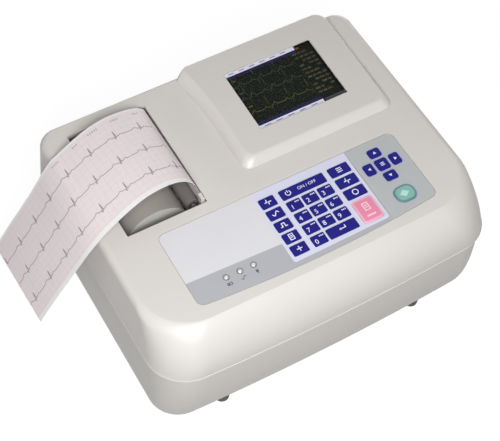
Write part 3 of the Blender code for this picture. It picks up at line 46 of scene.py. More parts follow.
CASE_MIDDLE = 0.0030
CASE_LEFT = CASE_MIDDLE - HALF_WIDTH
CASE_FRONT = -0.1000
CASE_BACK = 0.1020
SEAM = 0.0676
DECK = 0.1062
DECK_SLOPE = 0.04
BASE = 0.0055
WALL = 0.0025
CORNER_STEPS = 20
FRONT_STEPS = 36
SEAM_GAP = 0.0006
SEAM_STEP = 0.0012
SEAM_LIP = ((0.0, 0.0), (0.00012, 0.00028), (0.00045, 0.00042), (0.00085, 0.00034), (0.00125, 0.0))
SIDE_FILLET = 0.0050
SIDE_LEAN = 0.0050
BACK_FILLET = 0.0015
FRONT_SWEEP = 0.0205
FRONT_BOW = 0.0025
TOP_BOW = 0.0008
FRONT_CORNER = 0.0290
CORNER_GROWTH = 0.0060
CORNER_TIGHTENING = 0.0070
SWEEP_SHARE = 0.90
BACK_CORNER = 0.0100
CHIN_SWEEP = 0.0160
CHIN_HEIGHT = 0.0660
BASE_FILLET = 0.0025
CUT = 0.0030
INLET = (0.0457, 0.0943, 0.0237, 0.0483)
EARTH_X = 0.1060
EARTH_Z = 0.0360
EARTH_HOLE = 0.0031
REAR_CUT = 0.0060
HATCH = (-0.0963, -0.0477, 0.0087, 0.0813)
HATCH_RADIUS = 0.0040
VENT_FIRST = -0.0880
VENT_PITCH = 0.0052
VENT_HALF = 0.0009
VENT_DEPTH = 0.0012
VENT_HEIGHTS = (0.0300, 0.0520)
PORT = (-0.0428, -0.0172, 0.0335, 0.0425)
PORT_CUT = 0.0080
SCREWS = [(x, y) for x in (-0.1050, 0.1050) for y in (-0.0580, 0.0905)]
SCREW_WELL = 0.0037
SCREW_WELL_DEPTH = 0.0018
SCREW_SEAT = 0.0010
SCREW_PROFILE = (
    (0.0012, -0.0008), (0.0018, -0.0006), (0.0030, 0.0), (0.0032, 0.0005), (0.0028, 0.0009), (0.0002, 0.0009),
)
CROSS_LENGTH = 0.0017
CROSS_WIDTH = 0.00035
CROSS_LOW = 0.0004
CROSS_HALF_DEPTH = 0.0008
FEET = (
    ("foot_front_left", -0.0783, -0.0828), ("foot_front_right", 0.0783, -0.0828),
    ("foot_back_left", -0.0783, 0.0850), ("foot_back_right", 0.0783, 0.0850),
)
FOOT_PROFILE = (
    (0.0012, 0.0012), (0.0020, 0.0), (0.0048, 0.0), (0.0052, 0.0005), (0.0055, 0.0030), (0.0057, 0.0052),
)

# The recorder. The strip's places are shares of the way along, and of its height at the near and far edge
WELL = (-0.1024, -0.0435, -0.0009, 0.0910)
WELL_RADIUS = 0.0009
WELL_CUT = 0.0140
PAPER_WIDTH = 0.0800
PAPER_FRONT = 0.0080
PAPER_THICKNESS = 0.00022
NIP_X = -0.0446
PLATEN_X = -0.0501
PLATEN_Z = 0.0960
PAPER_ARCH = 0.0280
PAPER_REACH = 0.1720
PAPER_DRIFT = 0.0130
PAPER_TAIL_DRIFT = 0.0020
DRIFT_POWER = 1.3
ROLL = (-0.0770, 0.0805)
ROLL_RADIUS = 0.0245
ROLL_BORE = 0.0075
ROLL_EDGE = 0.0004
ROLL_EDGE_LENGTH = 0.0003
ROLL_GAP = 0.0005
PLATEN_BORE = 0.0023
PLATEN_RADIUS = 0.0050
PLATEN_EDGE = 0.0003
WEB_BEND_Z = 0.0900
TRACE_START = 0.0500
TRACE_HEIGHT = 0.0062
TRACE_BEAT = 0.0205
TRACE_LINE = 0.0005
PRINT_ACROSS = (0.0735, 0.0752)
PRINT_PITCH = 0.0017
PRINT_SPACING = 0.0170
RIBBON_STEP = 0.0008
RIBBON_SINK = 0.00004
RIBBON_LIFT = 0.00006
OVER_CASE = (
    (0.007, 0.06, 0.08), (0.040, 0.36, 0.19), (0.090, 0.60, 0.30), (0.180, 0.81, 0.42),
    (0.280, 0.93, 0.50), (0.375, 0.985, 0.555), (0.475, 1.00, 0.565), (0.573, 0.965, 0.54),
    (0.685, 0.88, 0.465), (0.790, 0.77, 0.365), (0.876, 0.665, 0.27), (0.950, 0.555, 0.185),
)
PAST_CASE = (
    (0.100, 0.295, -0.150), (0.270, -0.020, -0.540), (0.480, -0.420, -0.960),
    (0.735, -0.920, -1.460), (1.000, -1.470, -2.000),
)

# The screen
BLOCK = (-0.0095, 0.1105, 0.0080, CASE_BACK - BACK_FILLET)
BLOCK_SLOPES = (0.0070, 0.0045, 0.0065, -0.0012)
BLOCK_HEIGHT = 0.0057
BLOCK_TILT = 0.030
BLOCK_RADIUS = 0.0065
BLOCK_BACK_RADIUS = 0.0085
BLOCK_LEFT_RADIUS = 0.0030
BLOCK_FLARE = 0.0050
FLARE_START = 0.0500
BLOCK_ROOF = 0.0013
BLOCK_PROFILE = ((0, 0), (0.30, 0.18), (0.58, 0.40), (0.80, 0.62), (0.94, 0.82), (1, 1))
SCREEN_X = 0.0502
SCREEN_Y = 0.0568
SCREEN_WIDTH = 0.0700
SCREEN_HEIGHT = 0.0534
PANEL = (-0.0374, 0.0394, -0.03185, 0.03185)
PANEL_ROOM = (-0.0377, 0.0397, -0.0322, 0.0322, -0.0125)
PANEL_DEPTH = 0.0030
PANEL_TOP = -BLOCK_ROOF - 0.0016
PANEL_INK = 0.00006
PICTURE_SHIFT = (0.0008, 0.0013, 0)
GRID_STEP = 0.0042
GRID_HALF_LINE = 0.00008
PLOT_RIGHT = 0.0150
TITLE_RIGHT = 0.0218
STATUS_RIGHT = 0.0170
SCREEN_TRACES = ((0.0130, 0.0105, 2, 0.25), (0.0010, 0.0125, 2, 0.05), (-0.0125, 0.0100, 3, 0.45))
SCREEN_MARKS = ((0.0182, 3), (0.0066, 2), (-0.0062, 3))
VALUE_COLUMNS = ((0.0174, 0.0034), (0.0216, 0.0026), (0.0250, 0.0036), (0.0296, 0.0030))
BEAT_SHAPE = (
    (0.0, 0.0), (0.10, 0.0), (0.14, 0.10), (0.18, 0.16), (0.22, 0.08), (0.26, 0.0), (0.31, 0.0),
    (0.335, -0.14), (0.36, 1.0), (0.385, -0.38), (0.41, 0.0), (0.50, 0.02), (0.56, 0.16), (0.61, 0.26),
    (0.66, 0.17), (0.71, 0.02), (0.78, 0.0),
)

# The keypad
FILM = (-0.0861, 0.0953, -0.0730, -0.0098)
FILM_BOW = 0.0040
FILM_RADIUS = 0.0050
FILM_DEPTH = 0.0011
FILM_LOW = -0.0008
FILM_TOP = -0.00025
FILM_GAP = 0.0003
ISLAND_LEFT = -0.0169
ISLAND_RIGHT = 0.0578
ISLAND_FRONT = -0.0674
PRINT_LIFT = 0.00003
PITCH_X = 0.0120
PITCH_Y = 0.01025
KEY_X = 0.0102
KEY_Y = 0.0080
LEFT_KEY_X = 0.0114
RIGHT_KEY_X = 0.0154
TOP_ROW = -0.0207
FIRST_COLUMN = 0.0063
KEY_TOP = 0.0004
KEY_BOTTOM = -0.0020
KEY_RADIUS = 0.0008
KEY_EDGE = 0.00035
LEFT_COLUMN = -0.0087
RIGHT_COLUMN = 0.0471
ARROWS = (0.0758, -0.0305)
ARROW_REACH = 0.0104
LAMPS = (-0.0610, -0.0510, -0.0410)
LAMP_Y = -0.0578
LAMP_PROFILE = ((0.0014, -0.0035), (0.0014, 0.0), (0.0013, 0.00018), (0.0009, 0.00032), (0.0003, 0.00038))
LAMP_BAR = 0.0054

# The camera: its turns in degrees, what it looks at, how far away, and its focal length over the width
CAMERA_TURNS = (-31.16, 54.81, 1.68)
CAMERA_TARGET = (-0.00612, 0.00576, 0.0500)
CAMERA_DISTANCE = 0.88689
CAMERA_FOCAL_SHARE = 1248.14 / 500

# The case's plastics, as the light reflected by each
CASE_COLOUR = (0.63, 0.605, 0.575)
LOWER_COLOUR = (0.62, 0.595, 0.568)

CASE_MATRIX = Matrix.Translation(CASE_PLACE)
DECK_TURN = Matrix.Rotation(math.atan(DECK_SLOPE), 4, "X")
DECK_MATRIX = CASE_MATRIX @ Matrix.Translation((0, 0, DECK)) @ DECK_TURN
SCREEN_LIFT = BLOCK_HEIGHT + BLOCK_TILT * (SCREEN_Y - BLOCK[2])
SCREEN_TURN = Matrix.Rotation(math.atan(BLOCK_TILT), 4, "X")
SCREEN_MATRIX = DECK_MATRIX @ Matrix.Translation((SCREEN_X, SCREEN_Y, SCREEN_LIFT)) @ SCREEN_TURN


# Materials
def settings(node, **values):
    """Sets a node's inputs by their names."""
    for key, value in values.items():
        node.inputs[key.replace("_", " ").title().replace("Ior", "IOR")].default_value = value


def material(name, colour, roughness, metallic=0.0, **more):
    made = bpy.data.materials.new(name)
    made.use_nodes = True
    shader = made.node_tree.nodes["Principled BSDF"]
    settings(shader, base_color=(*colour, 1), roughness=roughness, metallic=metallic, **more)
    made.diffuse_color = (*colour, 1)
    return made


def texture_space(tree, scale):
    place = tree.nodes.new("ShaderNodeTexCoord")
    mapping = tree.nodes.new("ShaderNodeMapping")
    settings(mapping, scale=scale)
    tree.links.new(place.outputs["Object"], mapping.inputs["Vector"])
    return mapping.outputs["Vector"]


def noise(tree, vector, scale, detail=3.0, rough=0.5):
    node = tree.nodes.new("ShaderNodeTexNoise")
    settings(node, scale=scale, detail=detail, roughness=rough)
    tree.links.new(vector, node.inputs["Vector"])
    return node.outputs["Fac"]


def ramp(tree, value, low, high, first, last):
    node = tree.nodes.new("ShaderNodeMapRange")
    settings(node, from_min=low, from_max=high, to_min=first, to_max=last)
    tree.links.new(value, node.inputs["Value"])
    return node.outputs["Result"]


def mix(tree, factor, first, last):
    node = tree.nodes.new("ShaderNodeMix")
    node.data_type = "RGBA"
    for socket, value in ((node.inputs[6], first), (node.inputs[7], last)):
        if isinstance(value, tuple):
            socket.default_value = (*value, 1)
        else:
            tree.links.new(value, socket)
    tree.links.new(factor, node.inputs["Factor"])
    return node.outputs[2]


def math_node(tree, operation, *values):
    node = tree.nodes.new("ShaderNodeMath")
    node.operation = operation
    for socket, value in zip(node.inputs, values):
        if isinstance(value, (int, float)):
            socket.default_value = value
        else:
            tree.links.new(value, socket)
    return node.outputs["Value"]


def bump(tree, shader, height, strength, distance):
    node = tree.nodes.new("ShaderNodeBump")
    settings(node, strength=strength, distance=distance)
    tree.links.new(height, node.inputs["Height"])
    tree.links.new(node.outputs["Normal"], shader.inputs["Normal"])


def tinted(colour, amount):
    return tuple(min(1.0, c * amount) for c in colour)


def moulded(name, colour, roughness, grain=1400, depth=0.00004, strength=0.35, change=0.03, **more):
    """Moulded plastic or rubber: a fine grain, slow changes of tone and gloss, and paler worn edges."""
    made = material(name, colour, roughness, **more)
    tree = made.node_tree
    shader = tree.nodes["Principled BSDF"]
    vector = texture_space(tree, (1, 1, 1))
    slow = noise(tree, vector, 14, 2)
    fine = noise(tree, vector, grain, 2, 0.6)
    tone = mix(tree, ramp(tree, slow, 0.3, 0.7, 0, 1), tinted(colour, 1 - change), tinted(colour, 1 + change))
    speck = mix(tree, ramp(tree, fine, 0.62, 0.8, 0, 0.25), tone, tinted(colour, 0.9))
    form = tree.nodes.new("ShaderNodeNewGeometry")
    edge = ramp(tree, form.outputs["Pointiness"], 0.53, 0.62, 0, 0.3)
    rubbed = math_node(tree, "MULTIPLY", edge, ramp(tree, slow, 0.35, 0.65, 0.3, 1))
    worn = mix(tree, rubbed, speck, tinted(colour, 1.12))
    tree.links.new(worn, shader.inputs["Base Color"])
    tree.links.new(ramp(tree, slow, 0.25, 0.75, roughness * 0.9, roughness * 1.1), shader.inputs["Roughness"])
    bump(tree, shader, fine, strength, depth)
    return made


def film_look(name, colour, change=0.008):
    return moulded(name, colour, 0.34, grain=2200, strength=0.15, change=change)


def key_look(name, colour, change, roughness=0.36, **more):
    return moulded(name, colour, roughness, grain=2200, strength=0.2, change=change, **more)


def inked(name, colour, roughness=0.45, change=0.05, **more):
    """Screen-printed ink: small changes of cover and gloss."""
    return moulded(name, colour, roughness, grain=2600, depth=0.00002, strength=0.12, change=change, **more)


def screen_ink(name, colour, change=0.1, roughness=0.4, **more):
    return inked(name, colour, roughness, change, specular_ior_level=0.08, **more)


def brushed(name, colour, roughness, scale=(40, 1600, 1600), strength=0.25):
    """Metal with fine drawn lines along one direction."""
    made = material(name, colour, roughness, 1.0)
    tree = made.node_tree
    shader = tree.nodes["Principled BSDF"]
    lines = noise(tree, texture_space(tree, scale), 1.0, 3, 0.6)
    tree.links.new(ramp(tree, lines, 0.3, 0.7, roughness * 0.8, roughness * 1.3), shader.inputs["Roughness"])
    tone = mix(tree, ramp(tree, lines, 0.3, 0.7, 0, 1), tinted(colour, 0.92), tinted(colour, 1.05))
    tree.links.new(tone, shader.inputs["Base Color"])
    bump(tree, shader, lines, strength, 0.00003)
    return made


def wound_paper(name, colour):
    """The ends of a wound roll: fine rings, with the fibres of the paper."""
    made = material(name, colour, 0.75)
    tree = made.node_tree
    shader = tree.nodes["Principled BSDF"]
    wave = tree.nodes.new("ShaderNodeTexWave")
    wave.wave_type = "RINGS"
    wave.rings_direction = "Y"
    settings(wave, scale=260, distortion=0.6)
    vector = texture_space(tree, (1, 1, 1))
    tree.links.new(vector, wave.inputs["Vector"])
    fibres = noise(tree, vector, 900, 2)
    rings = ramp(tree, wave.outputs["Fac"], 0, 1, 0, 1)
    tree.links.new(mix(tree, rings, tinted(colour, 0.82), tinted(colour, 1.04)), shader.inputs["Base Color"])
    bump(tree, shader, fibres, 0.3, 0.00005)
    return made


def chart_paper(name):
    """Recorder paper: a pink millimetre grid with a heavier line every 5 mm, on the strip's own map."""
    made = material(name, (0.80, 0.73, 0.74), 0.62)
    tree = made.node_tree
    shader = tree.nodes["Principled BSDF"]
    uv = tree.nodes.new("ShaderNodeUVMap")
    uv.uv_map = "chart"
    parts = tree.nodes.new("ShaderNodeSeparateXYZ")
    tree.links.new(uv.outputs["UV"], parts.inputs["Vector"])

    def lines(pitch, width):
        both = []
        for axis in ("X", "Y"):
            scaled = math_node(tree, "DIVIDE", parts.outputs[axis], pitch)
            both.append(ramp(tree, math_node(tree, "PINGPONG", scaled, 0.5), width, width * 2, 1, 0))
        return math_node(tree, "MAXIMUM", *both)

    fine = lines(0.001, 0.06)
    heavy = lines(0.005, 0.022)
    fibre = noise(tree, texture_space(tree, (1, 1, 1)), 700, 3)
    base = mix(tree, ramp(tree, fibre, 0.3, 0.7, 0, 1), (0.86, 0.79, 0.80), (0.895, 0.83, 0.84))
    one = mix(tree, math_node(tree, "MULTIPLY", fine, 0.32), base, (0.76, 0.54, 0.59))
    two = mix(tree, math_node(tree, "MULTIPLY", heavy, 0.34), one, (0.72, 0.46, 0.53))
    near = ramp(tree, parts.outputs["Y"], 0.0032, 0.0042, 1, 0)
    far = ramp(tree, parts.outputs["Y"], 0.0776, 0.0784, 0, 1)
    margins = math_node(tree, "MAXIMUM", near, far)
    tree.links.new(mix(tree, margins, two, (0.91, 0.89, 0.90)), shader.inputs["Base Color"])
    bump(tree, shader, fibre, 0.15, 0.00003)
    return made


def laminate(name, colour, track):
    """A circuit board: solder mask over faint copper tracks."""
    made = material(name, colour, 0.35)
    tree = made.node_tree
    shader = tree.nodes["Principled BSDF"]
    brick = tree.nodes.new("ShaderNodeTexBrick")
    settings(brick, scale=90, mortar_size=0.03, mortar=(*track, 1))
    settings(brick, color1=(*colour, 1), color2=(*tinted(colour, 0.85), 1))
    tree.links.new(texture_space(tree, (1, 1, 1)), brick.inputs["Vector"])
    tree.links.new(brick.outputs["Color"], shader.inputs["Base Color"])
    return made


cover_look = moulded("cover_plastic", CASE_COLOUR, 0.38, change=0.012)
lower_look = moulded("lower_plastic", LOWER_COLOUR, 0.42, change=0.015)
housing_look = moulded("housing_plastic", tinted(CASE_COLOUR, 0.97), 0.36, change=0.012)
mechanism_look = moulded("mechanism_plastic", (0.20, 0.185, 0.168), 0.55, change=0.05)
black_look = moulded("black_plastic", (0.022, 0.022, 0.024), 0.42, change=0.08)
rocker_look = moulded("rocker_plastic", (0.016, 0.016, 0.017), 0.28, strength=0.1)
rubber_look = moulded(
    "foot_rubber", (0.10, 0.098, 0.095), 0.8, grain=900, depth=0.0001, strength=0.6, change=0.12,
)
platen_look = moulded("platen_rubber", (0.15, 0.14, 0.13), 0.7, grain=1200, depth=0.0001, strength=0.5)
gear_look = moulded("gear_plastic", (0.72, 0.69, 0.60), 0.42)
lever_look = moulded("lever_plastic", tinted(CASE_COLOUR, 0.98), 0.4)
steel_look = brushed("shaft_steel", (0.56, 0.56, 0.57), 0.24)
motor_look = brushed("motor_steel", (0.45, 0.45, 0.46), 0.36, (1600, 60, 1600))
bracket_look = brushed("bracket_aluminium", (0.66, 0.67, 0.68), 0.34, (1600, 30, 1600))
nickel_look = brushed("port_nickel", (0.58, 0.57, 0.55), 0.3, (500, 500, 500), 0.12)
brass_look = brushed("earth_brass", (0.62, 0.56, 0.40), 0.27, (500, 500, 500), 0.12)
ceramic_look = moulded("head_ceramic", (0.74, 0.73, 0.69), 0.22, strength=0.1)
board_look = laminate("board_green", (0.03, 0.15, 0.07), (0.10, 0.26, 0.12))
supply_look = laminate("board_supply", (0.10, 0.12, 0.05), (0.30, 0.26, 0.12))
battery_look = moulded("battery_wrap", (0.04, 0.10, 0.32), 0.3, grain=500, strength=0.2)
film_white = film_look("film_white", (0.655, 0.65, 0.675))
film_keys = film_look("film_lavender", (0.63, 0.64, 0.77))
film_grey = film_look("film_grey", (0.395, 0.400, 0.425), 0.01)
film_right = film_look("film_right_grey", (0.430, 0.445, 0.450), 0.01)
key_navy = key_look("key_navy", (0.006, 0.005, 0.17), 0.06, 0.42, specular_ior_level=0.25)
key_pink = key_look("key_pink", (0.80, 0.40, 0.51), 0.03)
key_green = key_look("key_green", (0.10, 0.24, 0.21), 0.05)
ink_pale = inked("ink_pale", (0.78, 0.78, 0.90))
ink_lilac = inked("ink_lilac", (0.36, 0.36, 0.66))
ink_dark = inked("ink_dark", (0.06, 0.06, 0.07), 0.5)
ink_rose = inked("ink_rose", (0.90, 0.58, 0.66))
ink_pink = inked("ink_pink", (0.72, 0.23, 0.36), 0.4)
ink_green = inked("ink_green", (0.20, 0.42, 0.37), 0.4)
ink_mint = inked("ink_mint", (0.44, 0.68, 0.64), 0.4)
trace_ink = inked("trace_ink", (0.31, 0.235, 0.29), 0.6)
lamp_look = moulded(
    "lamp_clear", (0.62, 0.64, 0.60), 0.15, grain=600, strength=0.08, change=0.04, coat_weight=0.5,
)
chart_look = chart_paper("chart_paper")
# The roll is the strip's own paper. Its ends are painted grey as painted shade in the well, and its side
# darker brown as painted shadow under the arching strip.
roll_end_painted_shade = wound_paper("wound_paper", (0.46, 0.45, 0.42))
roll_side_painted_shadow = moulded("wound_paper_side_painted_shadow", (0.30, 0.28, 0.255), 0.7, grain=700, strength=0.2, change=0.04)
glass_look = moulded(
    "screen_glass", (0.02, 0.02, 0.022), 0.06, grain=300, depth=0.000002, strength=0.02, change=0.1,
    specular_ior_level=0.15, alpha=0.12,
)
screen_dark = screen_ink("screen_dark", (0.006, 0.009, 0.005), 0.2, 0.35)
screen_grid = screen_ink("screen_grid", (0.022, 0.034, 0.020), 0.2)
screen_green = screen_ink("screen_green", (0.075, 0.125, 0.06), 0.2)
screen_yellow = screen_ink("screen_yellow", (0.14, 0.14, 0.02), 0.2)
screen_brown = screen_ink("screen_brown", (0.10, 0.075, 0.035), 0.2)
screen_bar = screen_ink(
    "screen_bar", (0.85, 0.84, 0.98), 0.02, emission_color=(0.85, 0.84, 1.0, 1), emission_strength=0.28,
)
screen_navy = screen_ink("screen_navy", (0.022, 0.022, 0.085))
screen_orange = screen_ink("screen_orange", (0.30, 0.10, 0.04))
screen_grey = screen_ink("screen_grey", (0.09, 0.09, 0.10))
screen_lilac = screen_ink("screen_lilac", (0.40, 0.40, 0.62), 0.05)


# Meshes
def loft(name, rings, closed=False):
    """Rings of equal point counts joined in order; the ends are filled, or the last ring meets the first."""
    mesh = bpy.data.meshes.new(name)
    body = bmesh.new()
    made = [[body.verts.new(p) for p in ring] for ring in rings]
    pairs = list(zip(made, made[1:]))
    if closed:
        pairs.append((made[-1], made[0]))
    for low, high in pairs:
        for i in range(len(low)):
            j = (i + 1) % len(low)
            body.faces.new((low[i], low[j], high[j], high[i]))
    if not closed:
        body.faces.new(list(reversed(made[0])))
        body.faces.new(made[-1])
    bmesh.ops.recalc_face_normals(body, faces=body.faces)
    body.to_mesh(mesh)
    body.free()
    return mesh


def joined(name, parts):
    """Several meshes as one; each part is a mesh and the number of its material slot."""
    body = bmesh.new()
    for one, index in parts:
        start = len(body.faces)
        body.from_mesh(one)
        body.faces.ensure_lookup_table()
        for face in body.faces[start:]:
            face.material_index = index
    mesh = bpy.data.meshes.new(name)
    body.to_mesh(mesh)
    body.free()
    return mesh


def arc(cx, cy, radius, start, end, steps):
    turn = (end - start) / steps
    angles = [start + turn * i for i in range(steps + 1)]
    return [(cx + radius * math.cos(a), cy + radius * math.sin(a)) for a in angles]


def rounded(x0, x1, y0, y1, front_radius, back_radius=None, steps=8, bow=0.0, front_steps=1):
    back_radius = front_radius if back_radius is None else back_radius
    quarter = math.pi / 2
    left = x0 + front_radius
    right = x1 - front_radius
    corner_y = y0 + bow + front_radius
    middle = (left + right) / 2
    half = (right - left) / 2
    points = arc(left, corner_y, front_radius, 2 * quarter, 3 * quarter, steps)
    for i in range(1, front_steps):
        x = left + (right - left) * i / front_steps
        points.append((x, y0 + bow * ((x - middle) / half) ** 2))
    points += arc(right, corner_y, front_radius, 3 * quarter, 4 * quarter, steps)
    points += arc(x1 - back_radius, y1 - back_radius, back_radius, 0, quarter, steps)
    points += arc(x0 + back_radius, y1 - back_radius, back_radius, quarter, 2 * quarter, steps)
    return points


def prism(name, outline, low, high):
    return loft(name, [[(x, y, low) for x, y in outline], [(x, y, high) for x, y in outline]])


def box(x0, x1, y0, y1):
    return ((x0, y0), (x1, y0), (x1, y1), (x0, y1))


def block(name, x0, x1, y0, y1, z0, z1):
    return prism(name, box(x0, x1, y0, y1), z0, z1)


def circle(radius, steps):
    angles = [2 * math.pi * i / steps for i in range(steps)]
    return [(radius * math.cos(a), radius * math.sin(a)) for a in angles]


def disc(name, x, y, radius, low, high, steps=24):
    return prism(name, [(x + u, y + v) for u, v in circle(radius, steps)], low, high)


def rod(name, x, z, radius, y0, y1, steps=32):
    return loft(name, [[(x + u, y, z + v) for u, v in circle(radius, steps)] for y in (y0, y1)])


def stroke(name, points, width, low, high, close=False):
    """A flat line of even width along points in a plane, as a thin closed solid."""
    count = len(points)
    rings = []
    for i, (x, y) in enumerate(points):
        if close:
            before = points[(i - 1) % count]
            after = points[(i + 1) % count]
        else:
            before = points[max(i - 1, 0)]
            after = points[min(i + 1, count - 1)]
        first = Vector((x - before[0], y - before[1]))
        last = Vector((after[0] - x, after[1] - y))
        first = first.normalized() if first.length > 0 else last.normalized()
        last = last.normalized() if last.length > 0 else first
        along = (first + last).normalized() if (first + last).length > 0.2 else last
        side = Vector((-along.y, along.x)) * (width / 2 / max(0.5, abs(along.dot(last))))
        rings.append([
            (x + side.x, y + side.y, low), (x - side.x, y - side.y, low),
            (x - side.x, y - side.y, high), (x + side.x, y + side.y, high),
        ])
    return loft(name, rings, close)


def lettering(name, words, size, low, thickness, x, y):
    """Plain numbers or a plain word as a thin solid, centred at x, y."""
    curve = bpy.data.curves.new(name, "FONT")
    curve.body = words
    curve.size = size
    curve.align_x = "CENTER"
    curve.align_y = "CENTER"
    curve.extrude = thickness / 2
    curve.resolution_u = 3
    holder = bpy.data.objects.new(name, curve)
    bpy.context.collection.objects.link(holder)
    bpy.context.view_layer.update()
    mesh = bpy.data.meshes.new_from_object(holder.evaluated_get(bpy.context.evaluated_depsgraph_get()))
    mesh.transform(Matrix.Translation((x, y, low + thickness / 2)))
    bpy.data.objects.remove(holder)
    return mesh


def placed(name, mesh, matrix):
    made = bpy.data.objects.new(name, mesh)
    bpy.context.collection.objects.link(made)
    made.matrix_world = matrix
    return made


def settle(target, cutters=()):
    """Applies the piece's modifiers and removes the cutters they used."""
    bpy.context.view_layer.update()
    graph = bpy.context.evaluated_depsgraph_get()
    mesh = bpy.data.meshes.new_from_object(target.evaluated_get(graph))
    target.modifiers.clear()
    target.data = mesh
    for cutter in cutters:
        bpy.data.objects.remove(cutter)


def cut(target, cutter, operation="DIFFERENCE"):
    step = target.modifiers.new(cutter.name, "BOOLEAN")
    step.object = cutter
    step.operation = operation
    step.solver = "EXACT"


def bevel(target, width, segments=3, angle=40):
    step = target.modifiers.new("edges", "BEVEL")
    step.width = width
    step.segments = segments
    step.limit_method = "ANGLE"
    step.angle_limit = math.radians(angle)
    step.use_clamp_overlap = True


def smooth(target, angle=35):
    target.data.shade_smooth()
    target.data.set_sharp_from_angle(angle=math.radians(angle))
    step = target.modifiers.new("normals", "WEIGHTED_NORMAL")
    step.mode = "FACE_AREA_WITH_ANGLE"
    step.keep_sharp = True


def piece(name, mesh, looks, body, matrix=CASE_MATRIX, nodes=(), angle=35):
    made = placed(name, mesh, matrix)
    if not isinstance(looks, (tuple, list)):
        looks = (looks,)
    for look in looks:
        mesh.materials.append(look)
    mesh.shade_smooth()
    mesh.set_sharp_from_angle(angle=math.radians(angle))
    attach(made, body)
    if nodes:
        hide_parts(*nodes)
    return made


def softened(node, look, body, width, segments=2):
    """The CAD node with its flat faces made whole and its edges rounded."""
    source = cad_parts[node]
    body_mesh = bmesh.new()
    body_mesh.from_mesh(source.data)
    bmesh.ops.remove_doubles(body_mesh, verts=body_mesh.verts, dist=0.000002)
    flat = math.radians(1)
    bmesh.ops.dissolve_limit(body_mesh, angle_limit=flat, verts=body_mesh.verts, edges=body_mesh.edges)
    mesh = bpy.data.meshes.new(node + "_finish")
    body_mesh.to_mesh(mesh)
    body_mesh.free()
    for face in mesh.polygons:
        face.material_index = 0
    made = piece(node + "_finish", mesh, look, body, source.matrix_world.copy(), (node,))
    bevel(made, width, segments, 30)
    settle(made)
    smooth(made, 50)


def deck_z(y):
    return DECK + DECK_SLOPE * y


def rounding(run):
    """How far a quarter round has come in at a share of its height."""
    return 1 - math.sqrt(max(0, 1 - min(1, run) ** 2))


def cover_ring(share, inset=0):
    """The outline of the top cover at a share of its height, as the outside or the inside of its wall."""
    height = DECK - SEAM
    side_start = 1 - SIDE_FILLET / height
    back_start = 1 - BACK_FILLET / height
    side_run = max(0, (share - side_start) / (1 - side_start))
    back_run = max(0, (share - back_start) / (1 - back_start))
    side = HALF_WIDTH - SIDE_LEAN * share - SIDE_FILLET * rounding(side_run) - inset
    back = CASE_BACK - BACK_FILLET * rounding(back_run) - inset
    sweep = rounding(SWEEP_SHARE * share) / rounding(SWEEP_SHARE)
    front = CASE_FRONT + FRONT_SWEEP * sweep + inset
    bow = FRONT_BOW + (TOP_BOW - FRONT_BOW) * share
    outline = rounded(
        CASE_MIDDLE - side, CASE_MIDDLE + side, front, back, FRONT_CORNER + CORNER_GROWTH * share - inset,
        BACK_CORNER - inset, CORNER_STEPS, bow, FRONT_STEPS,
    )
    return [(x, y, SEAM + share * (deck_z(y) - max(0, inset) - SEAM)) for x, y in outline]


def tray_ring(share, inset=0):
    """The outline of the bottom case at a share of its depth below the seam."""
    top = SEAM - SEAM_GAP
    drop = share * (top - BASE - inset)
    z = top - drop
    chin = CHIN_SWEEP * rounding(drop / CHIN_HEIGHT)
    edge = BASE_FILLET * rounding(max(0, (BASE + inset + BASE_FILLET - z) / BASE_FILLET))
    side = HALF_WIDTH - SEAM_STEP - inset - edge
    front = CASE_FRONT + SEAM_STEP + chin + inset + edge
    back = CASE_BACK - SEAM_STEP - inset - edge
    corner = FRONT_CORNER - CORNER_TIGHTENING * share - inset - edge
    outline = rounded(
        CASE_MIDDLE - side, CASE_MIDDLE + side, front, back, corner, BACK_CORNER - inset - edge,
        CORNER_STEPS, FRONT_BOW, FRONT_STEPS,
    )
    return [(x, y, z) for x, y in outline]


def key_table():
    """Each key's name, middle, width, depth and corner radius, on the deck."""
    rows = [TOP_ROW - PITCH_Y * i for i in range(5)]
    columns = [FIRST_COLUMN + PITCH_X * i for i in range(3)]
    keys = [(f"key_left_{i + 1}", LEFT_COLUMN, y, LEFT_KEY_X, KEY_Y, KEY_RADIUS) for i, y in enumerate(rows)]
    keys.append(("key_wide_top", columns[1], rows[0], 2 * PITCH_X + KEY_X, KEY_Y, KEY_RADIUS))
    for i in range(9):
        place = (columns[i % 3], rows[1 + i // 3])
        keys.append((f"key_digit_{i + 1}", *place, KEY_X, KEY_Y, KEY_RADIUS))
    keys.append(("key_digit_0", columns[0], rows[4], KEY_X, KEY_Y, KEY_RADIUS))
    middle = (columns[1] + columns[2]) / 2
    keys.append(("key_wide_bottom", middle, rows[4], PITCH_X + KEY_X, KEY_Y, KEY_RADIUS))
    for i in range(3):
        keys.append((f"key_right_{i + 1}", RIGHT_COLUMN, rows[i], RIGHT_KEY_X, KEY_Y, KEY_RADIUS))
    keys.append(("key_stop", RIGHT_COLUMN, -0.0569, RIGHT_KEY_X, 0.0186, 0.0022))
    arrows = (("up", 0, 1), ("left", -1, 0), ("centre", 0, 0), ("right", 1, 0), ("down", 0, -1))
    for name, across, along in arrows:
        x = ARROWS[0] + across * ARROW_REACH
        y = ARROWS[1] + along * ARROW_REACH
        width = 0.0072 if across else 0.0092
        depth = 0.0072 if along else 0.0092
        keys.append((f"key_arrow_{name}", x, y, width, depth, 0.0016))
    keys.append(("key_start", 0.0762, LAMP_Y, 0.0152, 0.0128, 0.0054))
    return keys


def key_outline(x, y, width, depth, radius, grow, steps=5):
    half_x = width / 2 + grow
    half_y = depth / 2 + grow
    corner = max(radius + grow, radius / 2)
    return rounded(x - half_x, x + half_x, y - half_y, y + half_y, corner, steps=steps)


